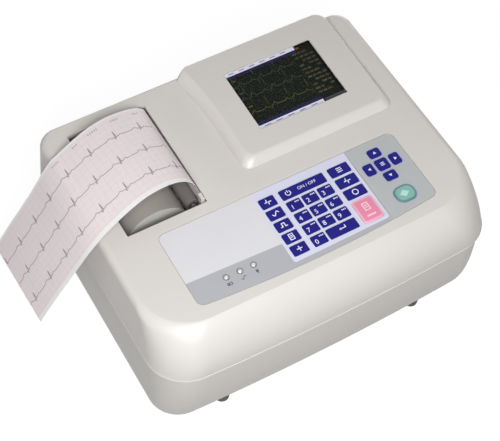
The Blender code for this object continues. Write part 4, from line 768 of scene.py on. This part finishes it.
def window_table():
    """The openings under the keys: the digits share one for each row."""
    keys = [key for key in key_table() if "digit" not in key[0] and key[0] != "key_wide_bottom"]
    for i in range(1, 5):
        y = TOP_ROW - PITCH_Y * i
        keys.append((f"row_{i}", FIRST_COLUMN + PITCH_X, y, 2 * PITCH_X + KEY_X, KEY_Y, KEY_RADIUS))
    return keys


def key_holes(table, grow):
    outlines = [key_outline(x, y, w, d, r, grow) for _, x, y, w, d, r in table]
    return joined("keys", [(prism("key", outline, -WALL - CUT, CUT), 0) for outline in outlines])


def lamp_holes(radius):
    return joined("lamps", [(disc("lamp", x, LAMP_Y, radius, -WALL - CUT, CUT), 0) for x in LAMPS])


# The two halves of the case
def build_cover():
    shares = [math.sin(math.radians(90 * i / 26)) for i in range(27)]
    lip = [cover_ring(up / (DECK - SEAM), -out) for up, out in SEAM_LIP]
    outer = lip + [cover_ring(s) for s in shares[2:]]
    inner = [cover_ring(s, WALL) for s in reversed(shares[::3])]
    shell = loft("upper_case", inner + outer)
    cover = piece("upper_case", shell, cover_look, "case", nodes=("top_cover",))
    well = prism("well", rounded(*WELL, WELL_RADIUS, steps=4), DECK - WELL_CUT, DECK + WELL_CUT)
    edges = (FILM[0] - FILM_GAP, FILM[1] + FILM_GAP, FILM[2] - FILM_GAP, FILM[3] + FILM_GAP)
    outline = rounded(*edges, FILM_RADIUS + FILM_GAP, steps=8, bow=FILM_BOW, front_steps=FRONT_STEPS)
    pocket = prism("pocket", outline, -FILM_DEPTH, CUT)
    cutters = [placed("well", well, CASE_MATRIX), placed("pocket", pocket, DECK_MATRIX)]
    for cutter in cutters:
        cut(cover, cutter)
    bevel(cover, 0.0004, 2, 50)
    settle(cover, cutters)
    openings = joined("windows", [(key_holes(window_table(), 0.0005), 0), (lamp_holes(0.0018), 0)])
    windows = placed("windows", openings, DECK_MATRIX)
    cut(cover, windows)
    settle(cover, (windows,))
    smooth(cover, 40)


def build_tray():
    straight = 0.955
    shares = [i / 12 * straight for i in range(13)]
    shares += [straight + (1 - straight) * math.sin(math.radians(90 * i / 7)) for i in range(1, 8)]
    inner = [tray_ring(s, WALL) for s in reversed(shares[::4])]
    shell = loft("lower_case", inner + [tray_ring(s) for s in shares])
    tray = piece("lower_case", shell, lower_look, "case", nodes=("bottom_case",))
    back = CASE_BACK - SEAM_STEP
    hatch = rounded(*HATCH, HATCH_RADIUS, steps=6)
    cuts = [
        block("inlet", *INLET[:2], back - REAR_CUT, back + CUT, *INLET[2:]),
        rod("earth", EARTH_X, EARTH_Z, EARTH_HOLE, back - REAR_CUT, back + CUT),
        prism("hatch", hatch, BASE - CUT, BASE + WALL + CUT),
    ]
    for i in range(9):
        x = VENT_FIRST + i * VENT_PITCH
        cuts.append(block("vent", x - VENT_HALF, x + VENT_HALF, back - VENT_DEPTH, back + CUT, *VENT_HEIGHTS))
    for x, y in SCREWS:
        cuts.append(disc("screw_well", x, y, SCREW_WELL, BASE - CUT, BASE + SCREW_WELL_DEPTH, 28))
    cutter = placed("tray_cuts", joined("tray_cuts", [(mesh, 0) for mesh in cuts]), CASE_MATRIX)
    cut(tray, cutter)
    bevel(tray, 0.0003, 2, 50)
    settle(tray, (cutter,))
    side = CASE_MIDDLE + HALF_WIDTH
    port = placed("port", block("port", side - PORT_CUT, side + CUT, *PORT), CASE_MATRIX)
    cut(tray, port)
    settle(tray, (port,))
    smooth(tray, 40)


def build_screws():
    """Cross-head screws in the wells underneath."""
    for number, (x, y) in enumerate(SCREWS, 1):
        z = BASE + SCREW_SEAT
        rings = [[(x + u, y + v, z - h) for u, v in circle(r, 28)] for r, h in SCREW_PROFILE]
        screw = piece(f"case_screw_{number}", loft("screw", rings), steel_look, "case")
        low = z - CROSS_LOW - CROSS_HALF_DEPTH
        high = z - CROSS_LOW + CROSS_HALF_DEPTH
        bars = []
        for half_x, half_y in ((CROSS_LENGTH, CROSS_WIDTH), (CROSS_WIDTH, CROSS_LENGTH)):
            bars.append((block("cross", x - half_x, x + half_x, y - half_y, y + half_y, low, high), 0))
        cross = placed("cross", joined("cross", bars), CASE_MATRIX)
        cut(screw, cross)
        screw.modifiers[-1].use_self = True
        settle(screw, (cross,))
        smooth(screw, 40)


def build_feet():
    for name, x, y in FEET:
        rings = [[(x + u, y + v, h) for u, v in circle(r, 40)] for r, h in FOOT_PROFILE]
        foot = loft(name, rings)
        piece("rubber_" + name, foot, rubber_look, "case", nodes=(name,), angle=50)


# The raised block with the screen
def block_ring(up, out):
    left = BLOCK[0] + BLOCK_SLOPES[0] * out
    right = BLOCK[1] - BLOCK_SLOPES[1] * out
    front = BLOCK[2] + BLOCK_SLOPES[2] * out
    back = BLOCK[3] - BLOCK_SLOPES[3] * out
    quarter = math.pi / 2
    outline = arc(left + BLOCK_RADIUS, front + BLOCK_RADIUS, BLOCK_RADIUS, 2 * quarter, 3 * quarter, 10)
    outline += arc(right - BLOCK_RADIUS, front + BLOCK_RADIUS, BLOCK_RADIUS, 3 * quarter, 4 * quarter, 10)
    outline += arc(right - BLOCK_BACK_RADIUS, back - BLOCK_BACK_RADIUS, BLOCK_BACK_RADIUS, 0, quarter, 10)
    small = BLOCK_LEFT_RADIUS
    corner = arc(left + small, back - small, small, quarter, 2 * quarter, 8)
    corner += [(left, corner[-1][1] + (outline[0][1] - corner[-1][1]) * i / 16) for i in range(1, 16)]
    for x, y in corner:
        outline.append((x - BLOCK_FLARE * max(0, (y - FLARE_START) / (BLOCK[3] - FLARE_START)) ** 2, y))
    return [(x, y, 0.0003 + up * (BLOCK_HEIGHT + BLOCK_TILT * (y - BLOCK[2]) - 0.0003)) for x, y in outline]


def spline(points, substeps):
    """A smooth curve through points of any number of coordinates."""
    path = []
    for i in range(len(points) - 1):
        before = points[max(i - 1, 0)]
        after = points[min(i + 2, len(points) - 1)]
        for k in range(substeps):
            t = k / substeps
            path.append(tuple(
                b + 0.5 * ((c - a) * t + (2 * a - 5 * b + 4 * c - d) * t**2 + (3 * b - a - 3 * c + d) * t**3)
                for a, b, c, d in zip(before, points[i], points[i + 1], after)
            ))
    path.append(points[-1])
    return path


def build_screen():
    rings = [block_ring(up, out) for up, out in spline(BLOCK_PROFILE, 3)]
    shell = loft("screen_block", rings)
    housing = piece(
        "screen_block", shell, housing_look, "case", DECK_MATRIX, ("display_housing",),
    )
    half_x = SCREEN_WIDTH / 2
    half_y = SCREEN_HEIGHT / 2
    window = block("window", -half_x, half_x, -half_y, half_y, -BLOCK_HEIGHT, CUT)
    room = block("room", *PANEL_ROOM, -BLOCK_ROOF)
    cutters = [placed("room", room, SCREEN_MATRIX), placed("window", window, SCREEN_MATRIX)]
    for cutter in cutters:
        cut(housing, cutter)
    bevel(housing, 0.0003, 2, 50)
    settle(housing, cutters)
    smooth(housing, 40)
    softened("display_window", glass_look, "case", 0.0002)
    build_picture()


def pulse_points(x0, x1, base, size, beat, phase):
    """A heart trace from x0 to x1 with a beat's shape repeated."""
    points = [(x0, base)]
    start = x0 - phase * beat
    while start < x1:
        for along, up in BEAT_SHAPE:
            x = start + along * beat
            if x0 < x < x1:
                points.append((x, base + up * size))
        start += beat
    points.append((x1, base))
    return points


def build_picture():
    """A plain monitoring picture on the panel: three traces on a faint grid, a column of values, two bars."""
    right = SCREEN_WIDTH / 2
    top = SCREEN_HEIGHT / 2
    left = -right
    foot = -top
    parts = []

    def bar(x0, x1, y0, y1, slot, thick=1.0, lift=0.0):
        low = PANEL_TOP + lift * PANEL_INK
        parts.append((block("bar", x0, x1, y0, y1, low, low + thick * PANEL_INK), slot))

    for i in range(12):
        x = left + GRID_STEP * (i + 1)
        bar(x - GRID_HALF_LINE, x + GRID_HALF_LINE, foot + 0.005, top - 0.005, 1, 1 / 3)
    for i in range(10):
        y = foot + GRID_STEP * (i + 1) + 0.002
        bar(left + 0.001, PLOT_RIGHT, y - GRID_HALF_LINE, y + GRID_HALF_LINE, 1, 1 / 3)
    for base, size, slot, phase in SCREEN_TRACES:
        points = pulse_points(left + 0.001, PLOT_RIGHT, base, size, 0.0165, phase)
        parts.append((stroke("trace", points, 0.0004, PANEL_TOP, PANEL_TOP + PANEL_INK), slot))
    for base, slot in SCREEN_MARKS:
        bar(left + 0.002, left + 0.0052, base - 0.0005, base + 0.0005, slot)
    for row in range(11):
        y = 0.0196 - row * 0.0037
        for column, (x, width) in enumerate(VALUE_COLUMNS):
            if (2 * row + 3 * column) % 5 != 4:
                bar(x, x + width, y - 0.0008, y + 0.0008, 5 if (row + 2 * column) % 3 == 0 else 4)
    bar(0.0160, 0.0163, foot + 0.005, top - 0.004, 1)
    bar(left - 0.002, TITLE_RIGHT, top - 0.0034, top + 0.003, 6)
    bar(left - 0.002, TITLE_RIGHT, top - 0.0060, top - 0.0034, 7, 0.5)
    bar(0.0224, 0.0250, top - 0.0040, top - 0.0022, 8)
    bar(left - 0.002, STATUS_RIGHT, foot - 0.002, foot + 0.0032, 6)
    bar(left - 0.002, STATUS_RIGHT, foot + 0.0032, foot + 0.0060, 7, 0.5)
    bar(0.0182, right, foot - 0.002, foot + 0.0030, 9)
    for i in range(6):
        x = left + 0.003 + i * 0.0084
        bar(x, x + 0.0044, top - 0.0022, top - 0.0014, 10, 1, 1)
    for i in range(5):
        x = left + 0.004 + i * 0.0094
        bar(x, x + 0.0050, foot + 0.0012, foot + 0.0020, 10, 1, 1)
    lines = joined("panel_picture", parts)
    lines.transform(Matrix.Translation(PICTURE_SHIFT))
    looks = (
        screen_dark, screen_grid, screen_green, screen_yellow, screen_brown, screen_green, screen_bar,
        screen_navy, screen_orange, screen_grey, screen_lilac,
    )
    panel = block("panel_glass", *PANEL, PANEL_TOP - PANEL_DEPTH, PANEL_TOP)
    piece("panel_glass", panel, screen_dark, "case", SCREEN_MATRIX, ("lcd_panel",))
    piece("panel_picture", lines, looks, "case", SCREEN_MATRIX, ())


# The printed film, keys and lamps
def build_film():
    whole = rounded(*FILM, FILM_RADIUS, steps=10, bow=FILM_BOW, front_steps=40)
    quarter = math.pi / 2
    island = arc(-0.0149, -0.0674, 0.0020, 2 * quarter, 3 * quarter, 6)
    island += arc(0.0550, -0.0668, 0.0020, 3 * quarter, 4 * quarter, 6)
    island += [(ISLAND_RIGHT, 0.01), (ISLAND_LEFT, 0.01)]
    left = ((-0.100, -0.0493), (ISLAND_LEFT, -0.0529), (ISLAND_LEFT, 0.01), (-0.100, 0.01))
    strip = left[:2] + ((ISLAND_LEFT, ISLAND_FRONT), *island[1:-2], (ISLAND_RIGHT, -0.090), (-0.100, -0.090))
    zones = (
        ("film_left", film_white, left, ("keypad_overlay",)),
        ("film_strip", film_grey, strip, ()),
        ("film_middle", film_keys, island, ()),
        ("film_right", film_right, box(ISLAND_RIGHT, 0.110, -0.090, 0.01), ()),
    )
    for name, look, zone, nodes in zones:
        sheet = prism(name, whole, FILM_LOW, FILM_TOP)
        made = piece(name, sheet, look, "case", DECK_MATRIX, nodes)
        cutters = [
            placed("zone", prism("zone", zone, FILM_LOW - CUT, FILM_TOP + CUT), DECK_MATRIX),
            placed("holes", key_holes(key_table(), 0.00022), DECK_MATRIX),
            placed("lamps", lamp_holes(0.00165), DECK_MATRIX),
        ]
        for cutter, operation in zip(cutters, ("INTERSECT", "DIFFERENCE", "DIFFERENCE")):
            cut(made, cutter, operation)
        settle(made, cutters)
        smooth(made, 40)
    parts = []
    lift = FILM_TOP + PRINT_LIFT
    for name, x, y, width, depth, radius in key_table():
        if "arrow" in name or name == "key_start":
            outer = key_outline(x, y, width, depth, radius, 0.00075)
            inner = key_outline(x, y, width, depth, radius, 0.00028)
            levels = ((outer, FILM_TOP), (outer, lift), (inner, lift), (inner, FILM_TOP))
            rings = [[(u, v, level) for u, v in outline] for outline, level in levels]
            parts.append((loft("border", rings, True), 0))
    piece("key_borders", joined("key_borders", parts), ink_lilac, "case", DECK_MATRIX)


# Each symbol's strokes, loops and filled shapes, as shares of half its size
ICON_LINE_SHARE = 0.13
SWITCH_TURNS = [math.radians(a) for a in range(40, 321, 14)]
ICON_SHARES = {
    "pulse": (("line", ((-1, 0), (-0.45, 0), (-0.25, 0.9), (0.05, -0.8), (0.25, 0), (1, 0))),),
    "sine": (("line", [(i / 8 - 1, 0.6 * math.sin(math.pi * (i / 8 - 1))) for i in range(17)]),),
    "square": (("line", ((-1, -0.5), (-0.4, -0.5), (-0.4, 0.6), (0.4, 0.6), (0.4, -0.5), (1, -0.5))),),
    "bars": [("line", ((-0.8, v), (0.8, v))) for v in (0.6, 0, -0.6)],
    "plus": (("line", ((-0.8, 0), (0.8, 0))), ("line", ((0, -0.8), (0, 0.8)))),
    "page": (
        ("loop", box(-0.6, 0.6, -0.9, 0.9)), ("line", ((-0.3, 0.3), (0.3, 0.3))),
        ("line", ((-0.3, -0.2), (0.3, -0.2))),
    ),
    "back": (("line", ((-0.9, 0), (0.9, 0), (0.9, 0.8))), ("fill", ((-1.1, 0), (-0.5, -0.4), (-0.5, 0.4)))),
    "power": (
        ("line", [(0.8 * math.sin(a), 0.8 * math.cos(a)) for a in SWITCH_TURNS]),
        ("line", ((0, 0.15), (0, 1))),
    ),
    "ring": (("loop", circle(0.8, 24)),),
    "battery": (
        ("loop", box(-0.9, 0.75, -0.45, 0.45)), ("fill", box(0.8, 1, -0.2, 0.2)),
        ("fill", box(-0.7, -0.1, -0.25, 0.25)),
    ),
    "plug": (
        ("fill", box(-0.5, 0.5, -0.3, 0.3)), ("line", ((-0.25, 0.3), (-0.25, 0.9))),
        ("line", ((0.25, 0.3), (0.25, 0.9))), ("line", ((0, -0.3), (0, -1))),
    ),
    "up": (("fill", ((-0.7, -0.5), (0.7, -0.5), (0, 0.7))),),
    "down": (("fill", ((-0.7, 0.5), (0, -0.7), (0.7, 0.5))),),
    "left": (("fill", ((0.5, -0.7), (0.5, 0.7), (-0.7, 0))),),
    "right": (("fill", ((-0.5, -0.7), (0.7, 0), (-0.5, 0.7))),),
}
KEY_ICONS = {
    "key_left_1": "pulse", "key_left_2": "sine", "key_left_3": "square", "key_left_4": "page",
    "key_left_5": "plus", "key_right_1": "bars", "key_right_2": "pulse", "key_right_3": "ring",
    "key_wide_bottom": "back", "key_arrow_up": "up", "key_arrow_down": "down", "key_arrow_left": "left",
    "key_arrow_right": "right", "key_arrow_centre": "bars",
}


def icon(kind, x, y, size, low, high):
    """A small plain symbol as thin solids."""
    marks = []
    for form, points in ICON_SHARES[kind]:
        outline = [(x + u * size / 2, y + v * size / 2) for u, v in points]
        if form == "fill":
            marks.append(prism(kind, outline, low, high))
        else:
            marks.append(stroke(kind, outline, size * ICON_LINE_SHARE, low, high, form == "loop"))
    return marks


def key_marks(name, low, high):
    """What is printed on a key, about its own middle."""
    thick = high - low
    if name.startswith("key_digit_"):
        marks = [lettering("digit", name[-1], 0.0050, low, thick, -0.0024, -0.0012)]
        for i in range(3):
            marks.append(block("dash", 0.0008 + i * 0.0012, 0.0016 + i * 0.0012, 0.0016, 0.0025, low, high))
        return marks
    if name == "key_wide_top":
        words = lettering("switch_words", "ON / OFF", 0.0034, low, thick, 0.0030, 0)
        return icon("power", -0.0115, 0, 0.0046, low, high) + [words]
    if name == "key_stop":
        dash = block("dash", -0.0034, 0.0034, -0.0054, -0.0042, low, high)
        return icon("page", 0, 0.0024, 0.0062, low, high) + [dash]
    if name == "key_start":
        return [prism("start", ((-0.0040, 0), (-0.0006, -0.0028), (0.0032, 0), (-0.0006, 0.0028)), low, high)]
    return icon(KEY_ICONS[name], 0, 0, 0.0036 if "arrow" in name else 0.0050, low, high)


def build_keys():
    """Each key's cap, with its printing; the stop and start keys have a field of their own colour."""
    special = {
        "key_stop": (key_pink, ink_rose, ink_pink, "key_pink"),
        "key_start": (key_green, ink_mint, ink_green, "key_green"),
    }
    for name, x, y, width, depth, radius in key_table():
        levels = [(0, KEY_BOTTOM)]
        for i in range(5):
            angle = math.radians(90 * i / 4)
            z = KEY_TOP - KEY_EDGE + KEY_EDGE * math.sin(angle)
            levels.append((-KEY_EDGE * (1 - math.cos(angle)), z))
        rings = []
        for grow, z in levels:
            rings.append([(u, v, z) for u, v in key_outline(0, 0, width, depth, radius, grow)])
        parts = [(loft(name, rings), 0)]
        parts += [(mark, 1) for mark in key_marks(name, KEY_TOP - 0.00002, KEY_TOP + 0.00005)]
        look, ink, field, slot = special.get(name, (key_navy, ink_pale, ink_pale, "key_navy"))
        if name in special:
            inner = key_outline(0, 0, width, depth, radius, -0.0013)
            parts.append((prism("field", inner, KEY_TOP - 0.00002, KEY_TOP + 0.00002), 2))
        place = DECK_MATRIX @ Matrix.Translation((x, y, 0))
        piece(name + "_cap", joined(name, parts), (look, ink, field), name + "_button", place, (name,))


def build_lamps():
    parts = []
    for x in LAMPS:
        rings = [[(x + u, LAMP_Y + v, z) for u, v in circle(radius, 28)] for radius, z in LAMP_PROFILE]
        parts.append((loft("lamp", rings), 0))
    ends = (LAMPS[0] - LAMP_BAR, LAMPS[-1] + LAMP_BAR)
    bar = block("bar", *ends, LAMP_Y - LAMP_BAR, LAMP_Y + LAMP_BAR, -0.0048, -0.0034)
    guides = joined("lamp_guides", parts + [(bar, 0)])
    piece("lamp_guides", guides, lamp_look, "case", DECK_MATRIX, ("status_lights",), 50)
    marks = []
    lift = FILM_TOP + PRINT_LIFT
    for x in LAMPS:
        ring = [(x + u, LAMP_Y + v) for u, v in circle(0.0021, 32)]
        marks.append(stroke("ring", ring, 0.00035, FILM_TOP, lift, True))
    for kind, x in zip(("battery", "sine", "plug"), LAMPS):
        marks += icon(kind, x, LAMP_Y - LAMP_BAR, 0.0036, FILM_TOP, lift)
    piece("lamp_marks", joined("lamp_marks", [(mark, 0) for mark in marks]), ink_dark, "case", DECK_MATRIX)


# The recorder
def strip_path():
    """Places along the strip: x, the front edge's y, and the heights of the near and far edges."""
    reach = ROLL_RADIUS + ROLL_GAP
    to_roll = math.hypot(ROLL[0] - NIP_X, ROLL[1] - WEB_BEND_Z)
    heading = math.atan2(ROLL[1] - WEB_BEND_Z, ROLL[0] - NIP_X) + math.asin(reach / to_roll)
    length = math.sqrt(to_roll**2 - reach**2)
    web = []
    for share in (1, 0.5):
        z = WEB_BEND_Z + share * length * math.sin(heading)
        web.append((NIP_X + share * length * math.cos(heading), PAPER_FRONT, z, z))
    stations = [(NIP_X, PAPER_FRONT, z, z) for z in (WEB_BEND_Z, PLATEN_Z, DECK - WALL)]
    for share, near, far in OVER_CASE:
        x = NIP_X - share * (NIP_X - CASE_LEFT)
        y = PAPER_FRONT - PAPER_DRIFT * share**DRIFT_POWER
        stations.append((x, y, DECK + near * PAPER_ARCH, DECK + far * PAPER_ARCH))
    for share, near, far in PAST_CASE:
        x = CASE_LEFT - share * (PAPER_REACH + CASE_LEFT)
        y = PAPER_FRONT - PAPER_DRIFT - share * PAPER_TAIL_DRIFT
        stations.append((x, y, DECK + near * PAPER_ARCH, DECK + far * PAPER_ARCH))
    return web + spline(stations, 8)


class Strip:
    """The strip's middle surface: a place for each length along and each share across."""

    def __init__(self):
        self.path = strip_path()
        self.along = [0.0]
        for a, b in zip(self.path, self.path[1:]):
            step = math.dist((a[0], a[1], (a[2] + a[3]) / 2), (b[0], b[1], (b[2] + b[3]) / 2))
            self.along.append(self.along[-1] + step)
        self.length = self.along[-1]

    def place(self, index, across):
        x, y, near, far = self.path[index]
        return Vector((x, y + across * PAPER_WIDTH, near + across * (far - near)))

    def normal(self, index, across):
        last = len(self.path) - 1
        ahead = self.place(min(index + 1, last), across) - self.place(max(index - 1, 0), across)
        return ahead.cross(Vector((0, -1, 0))).normalized()

    def at(self, length, across):
        """The place and normal at a length along the strip."""
        length = min(max(length, 0), self.length - 0.0001)
        index = max(i for i, value in enumerate(self.along) if value <= length)
        share = (length - self.along[index]) / (self.along[index + 1] - self.along[index])
        spot = self.place(index, across).lerp(self.place(index + 1, across), share)
        return spot, self.normal(index, across).lerp(self.normal(index + 1, across), share).normalized()


def build_strip():
    strip = Strip()
    columns = 24
    rows = len(strip.path)
    body = bmesh.new()
    map_layer = body.loops.layers.uv.new("chart")
    grid = {}
    for side in (1, -1):
        for i in range(rows):
            for j in range(columns + 1):
                across = j / columns
                spot = strip.place(i, across) + strip.normal(i, across) * (side * PAPER_THICKNESS / 2)
                grid[side, i, j] = body.verts.new(spot)

    def face(corners):
        made = body.faces.new([grid[c] for c in corners])
        for loop, (_, i, j) in zip(made.loops, corners):
            loop[map_layer].uv = (strip.along[i], j / columns * PAPER_WIDTH)

    for i in range(rows - 1):
        for j in range(columns):
            face(((1, i, j), (1, i + 1, j), (1, i + 1, j + 1), (1, i, j + 1)))
            face(((-1, i, j + 1), (-1, i + 1, j + 1), (-1, i + 1, j), (-1, i, j)))
        face(((1, i, 0), (-1, i, 0), (-1, i + 1, 0), (1, i + 1, 0)))
        face(((1, i + 1, columns), (-1, i + 1, columns), (-1, i, columns), (1, i, columns)))
    for j in range(columns):
        face(((1, 0, j + 1), (-1, 0, j + 1), (-1, 0, j), (1, 0, j)))
        face(((1, rows - 1, j), (-1, rows - 1, j), (-1, rows - 1, j + 1), (1, rows - 1, j + 1)))
    bmesh.ops.recalc_face_normals(body, faces=body.faces)
    mesh = bpy.data.meshes.new("chart_strip")
    body.to_mesh(mesh)
    body.free()
    chart = piece("chart_strip", mesh, chart_look, "case", nodes=("paper_strip",), angle=60)
    traces = []
    for base, phase in ((0.20, 0.1), (0.47, 0.45), (0.74, 0.8)):
        points = pulse_points(
            TRACE_START, strip.length - 0.001, base * PAPER_WIDTH, TRACE_HEIGHT, TRACE_BEAT, phase,
        )
        traces.append((ribbon(strip, points, TRACE_LINE), 0))
    near, far = PRINT_ACROSS
    for i in range(5):
        for k in range(3 + i % 3):
            x = TRACE_START + 0.006 + i * PRINT_SPACING + k * PRINT_PITCH
            traces.append((ribbon(strip, ((x, near), (x + 0.0001, far)), TRACE_LINE), 0))
    printed = piece("chart_traces", joined("chart_traces", traces), trace_ink, "case", angle=60)


def ribbon(strip, points, width):
    """A printed line on the strip through points of length along and distance across."""
    fine = [Vector(points[0])]
    for first, last in zip(points, points[1:]):
        count = max(1, math.ceil(math.dist(first, last) / RIBBON_STEP))
        fine += [Vector(first).lerp(Vector(last), k / count) for k in range(1, count + 1)]
    points = fine
    rings = []
    for i, (along, across) in enumerate(points):
        before = points[max(i - 1, 0)]
        after = points[min(i + 1, len(points) - 1)]
        heading = (after - before).normalized()
        side = Vector((-heading.y, heading.x)) * width / 2
        ring = []
        for sign, lift in ((1, -RIBBON_SINK), (-1, -RIBBON_SINK), (-1, RIBBON_LIFT), (1, RIBBON_LIFT)):
            spot, normal = strip.at(along + sign * side.x, (across + sign * side.y) / PAPER_WIDTH)
            ring.append(spot + normal * (PAPER_THICKNESS / 2 + lift))
        rings.append(ring)
    return loft("ribbon", rings)


def turned(name, profile, steps):
    """A hollow shape turned about the Y axis from points of y and radius."""
    return loft(name, [[(u, y, v) for u, v in circle(r, steps)] for y, r in profile], True)


def build_roll():
    half = PAPER_WIDTH / 2
    profile = (
        (-half, ROLL_BORE), (-half, ROLL_RADIUS - ROLL_EDGE), (-half + ROLL_EDGE_LENGTH, ROLL_RADIUS),
        (half - ROLL_EDGE_LENGTH, ROLL_RADIUS), (half, ROLL_RADIUS - ROLL_EDGE), (half, ROLL_BORE),
    )
    mesh = turned("wound_roll", profile, 96)
    for face in mesh.polygons:
        face.material_index = 1 if abs(face.normal.y) < 0.3 else 0
    place = CASE_MATRIX @ Matrix.Translation((ROLL[0], PAPER_FRONT + half, ROLL[1]))
    piece("wound_roll", mesh, (roll_end_painted_shade, roll_side_painted_shadow), "paper_supply", place, ("paper_roll",), 40)
    softened("roll_spindle", black_look, "paper_supply", 0.0003)
    front = PAPER_FRONT
    back = PAPER_FRONT + PAPER_WIDTH
    shoulder = PLATEN_RADIUS - PLATEN_EDGE
    profile = (
        (front, PLATEN_BORE), (front, shoulder), (front + PLATEN_EDGE, PLATEN_RADIUS),
        (back - PLATEN_EDGE, PLATEN_RADIUS), (back, shoulder), (back, PLATEN_BORE),
    )
    mesh = turned("platen_cover", profile, 64)
    place = CASE_MATRIX @ Matrix.Translation((PLATEN_X, 0, PLATEN_Z))
    piece("platen_cover", mesh, platen_look, "platen", place, ("platen_roller",), 40)


def build_inside():
    """The CAD nodes that keep their own shape: look, body, edge and the steps of the edge."""
    for node, look, body, edge, steps in (
        ("printer_frame", mechanism_look, "case", 0.0003, 2),
        ("platen_shaft", steel_look, "platen", 0.0002, 2),
        ("platen_gear", gear_look, "platen", 0.0001, 1), ("idler_gear", gear_look, "idler", 0.0001, 1),
        ("motor_pinion", gear_look, "pinion", 0.0001, 1), ("stepper_motor", motor_look, "case", 0.0004, 2),
        ("head_bracket", bracket_look, "head_carrier", 0.0002, 2),
        ("print_head", ceramic_look, "head_carrier", 0.0002, 2),
        ("release_lever", lever_look, "lever", 0.0004, 3),
        ("keypad_board", board_look, "case", 0.0002, 2), ("main_board", board_look, "case", 0.0003, 2),
        ("power_supply", supply_look, "case", 0.0003, 2), ("battery_pack", battery_look, "case", 0.0006, 2),
        ("battery_door", lower_look, "case", 0.0004, 2), ("mains_inlet", black_look, "case", 0.0004, 2),
        ("power_switch", rocker_look, "rocker", 0.0005, 3), ("earth_post", brass_look, "case", 0.0003, 2),
        ("patient_port", nickel_look, "case", 0.0003, 2),
    ):
        softened(node, look, body, edge, steps)


# Light, floor and camera
def direct_rays(tree):
    """One for what the camera sees itself, in a reflection or through glass."""
    path = tree.nodes.new("ShaderNodeLightPath")
    seen = math_node(tree, "MAXIMUM", path.outputs["Is Camera Ray"], path.outputs["Is Glossy Ray"])
    return math_node(tree, "MAXIMUM", seen, path.outputs["Is Transmission Ray"])


def stand(name, data):
    holder = bpy.data.objects.new(name, data)
    bpy.context.collection.objects.link(holder)
    return holder


def build_stage():
    floor_mesh = bpy.data.meshes.new("floor")
    size = 4.0
    corners = [(x, y, 0) for x, y in box(-size, size, -size, size)]
    floor_mesh.from_pydata(corners, [], [(0, 1, 2, 3)])
    floor = stand("floor", floor_mesh)
    floor.location.z = -0.0002
    pale = bpy.data.materials.new("floor_pale")
    pale.use_nodes = True
    tree = pale.node_tree
    dim = tree.nodes["Principled BSDF"]
    settings(dim, base_color=(0.13, 0.125, 0.12, 1), roughness=0.9, specular_ior_level=0.0)
    shaded = tree.nodes.new("ShaderNodeBsdfDiffuse")
    settings(shaded, color=(0.97, 0.97, 0.97, 1))
    glow = tree.nodes.new("ShaderNodeEmission")
    settings(glow, strength=1.08)
    seen = tree.nodes.new("ShaderNodeMixShader")
    settings(seen, fac=0.86)
    tree.links.new(shaded.outputs["BSDF"], seen.inputs[1])
    tree.links.new(glow.outputs["Emission"], seen.inputs[2])
    either = tree.nodes.new("ShaderNodeMixShader")
    tree.links.new(direct_rays(tree), either.inputs["Fac"])
    tree.links.new(dim.outputs["BSDF"], either.inputs[1])
    tree.links.new(seen.outputs["Shader"], either.inputs[2])
    tree.links.new(either.outputs["Shader"], tree.nodes["Material Output"].inputs["Surface"])
    floor_mesh.materials.append(pale)

    world = bpy.data.worlds.new("studio")
    bpy.context.scene.world = world
    world.use_nodes = True
    tree = world.node_tree
    back = tree.nodes["Background"]
    settings(back, color=(1, 1, 1, 1), strength=0.10)
    seen = tree.nodes.new("ShaderNodeBackground")
    settings(seen, color=(1, 1, 1, 1), strength=1.0)
    both = tree.nodes.new("ShaderNodeMixShader")
    tree.links.new(direct_rays(tree), both.inputs["Fac"])
    tree.links.new(back.outputs["Background"], both.inputs[1])
    tree.links.new(seen.outputs["Background"], both.inputs[2])
    tree.links.new(both.outputs["Shader"], tree.nodes["World Output"].inputs["Surface"])

    for name, place, size, power in (
        ("key_light", (-0.24, -0.56, 0.72), 0.5, 8.7),
        ("left_light", (-1.30, -0.10, 0.42), 0.7, 1.5),
        ("top_light", (0.16, 0.10, 1.60), 1.0, 1.0),
        ("back_light", (1.10, 1.10, 0.28), 0.8, 6.5),
    ):
        lamp = bpy.data.lights.new(name, "AREA")
        lamp.shape = "DISK"
        lamp.size = size
        lamp.energy = power
        holder = stand(name, lamp)
        holder.location = place
        aim = Vector((0.02, 0, 0.06)) - Vector(place)
        holder.rotation_euler = aim.to_track_quat("-Z", "Y").to_euler()


def build_camera():
    azimuth, elevation, roll = [math.radians(a) for a in CAMERA_TURNS]
    target = CASE_MATRIX @ Vector(CAMERA_TARGET)
    level = math.cos(elevation)
    forward = Vector((-math.sin(azimuth) * level, math.cos(azimuth) * level, -math.sin(elevation)))
    flat_right = Vector((math.cos(azimuth), math.sin(azimuth), 0))
    flat_up = flat_right.cross(forward)
    right = math.cos(roll) * flat_right + math.sin(roll) * flat_up
    up = -math.sin(roll) * flat_right + math.cos(roll) * flat_up
    eye = target - forward * CAMERA_DISTANCE
    camera = bpy.data.cameras.new("camera")
    camera.sensor_width = 36
    camera.sensor_fit = "HORIZONTAL"
    camera.lens = CAMERA_FOCAL_SHARE * camera.sensor_width
    holder = stand("camera", camera)
    holder.matrix_world = Matrix((
        (right.x, up.x, -forward.x, eye.x),
        (right.y, up.y, -forward.y, eye.y),
        (right.z, up.z, -forward.z, eye.z),
        (0, 0, 0, 1),
    ))
    bpy.context.scene.camera = holder


def main():
    build_camera()
    build_cover()
    build_tray()
    build_feet()
    build_screen()
    build_film()
    build_keys()
    build_lamps()
    build_strip()
    build_roll()
    build_inside()
    build_screws()
    build_stage()
    bpy.context.scene.view_settings.view_transform = "Standard"


main()
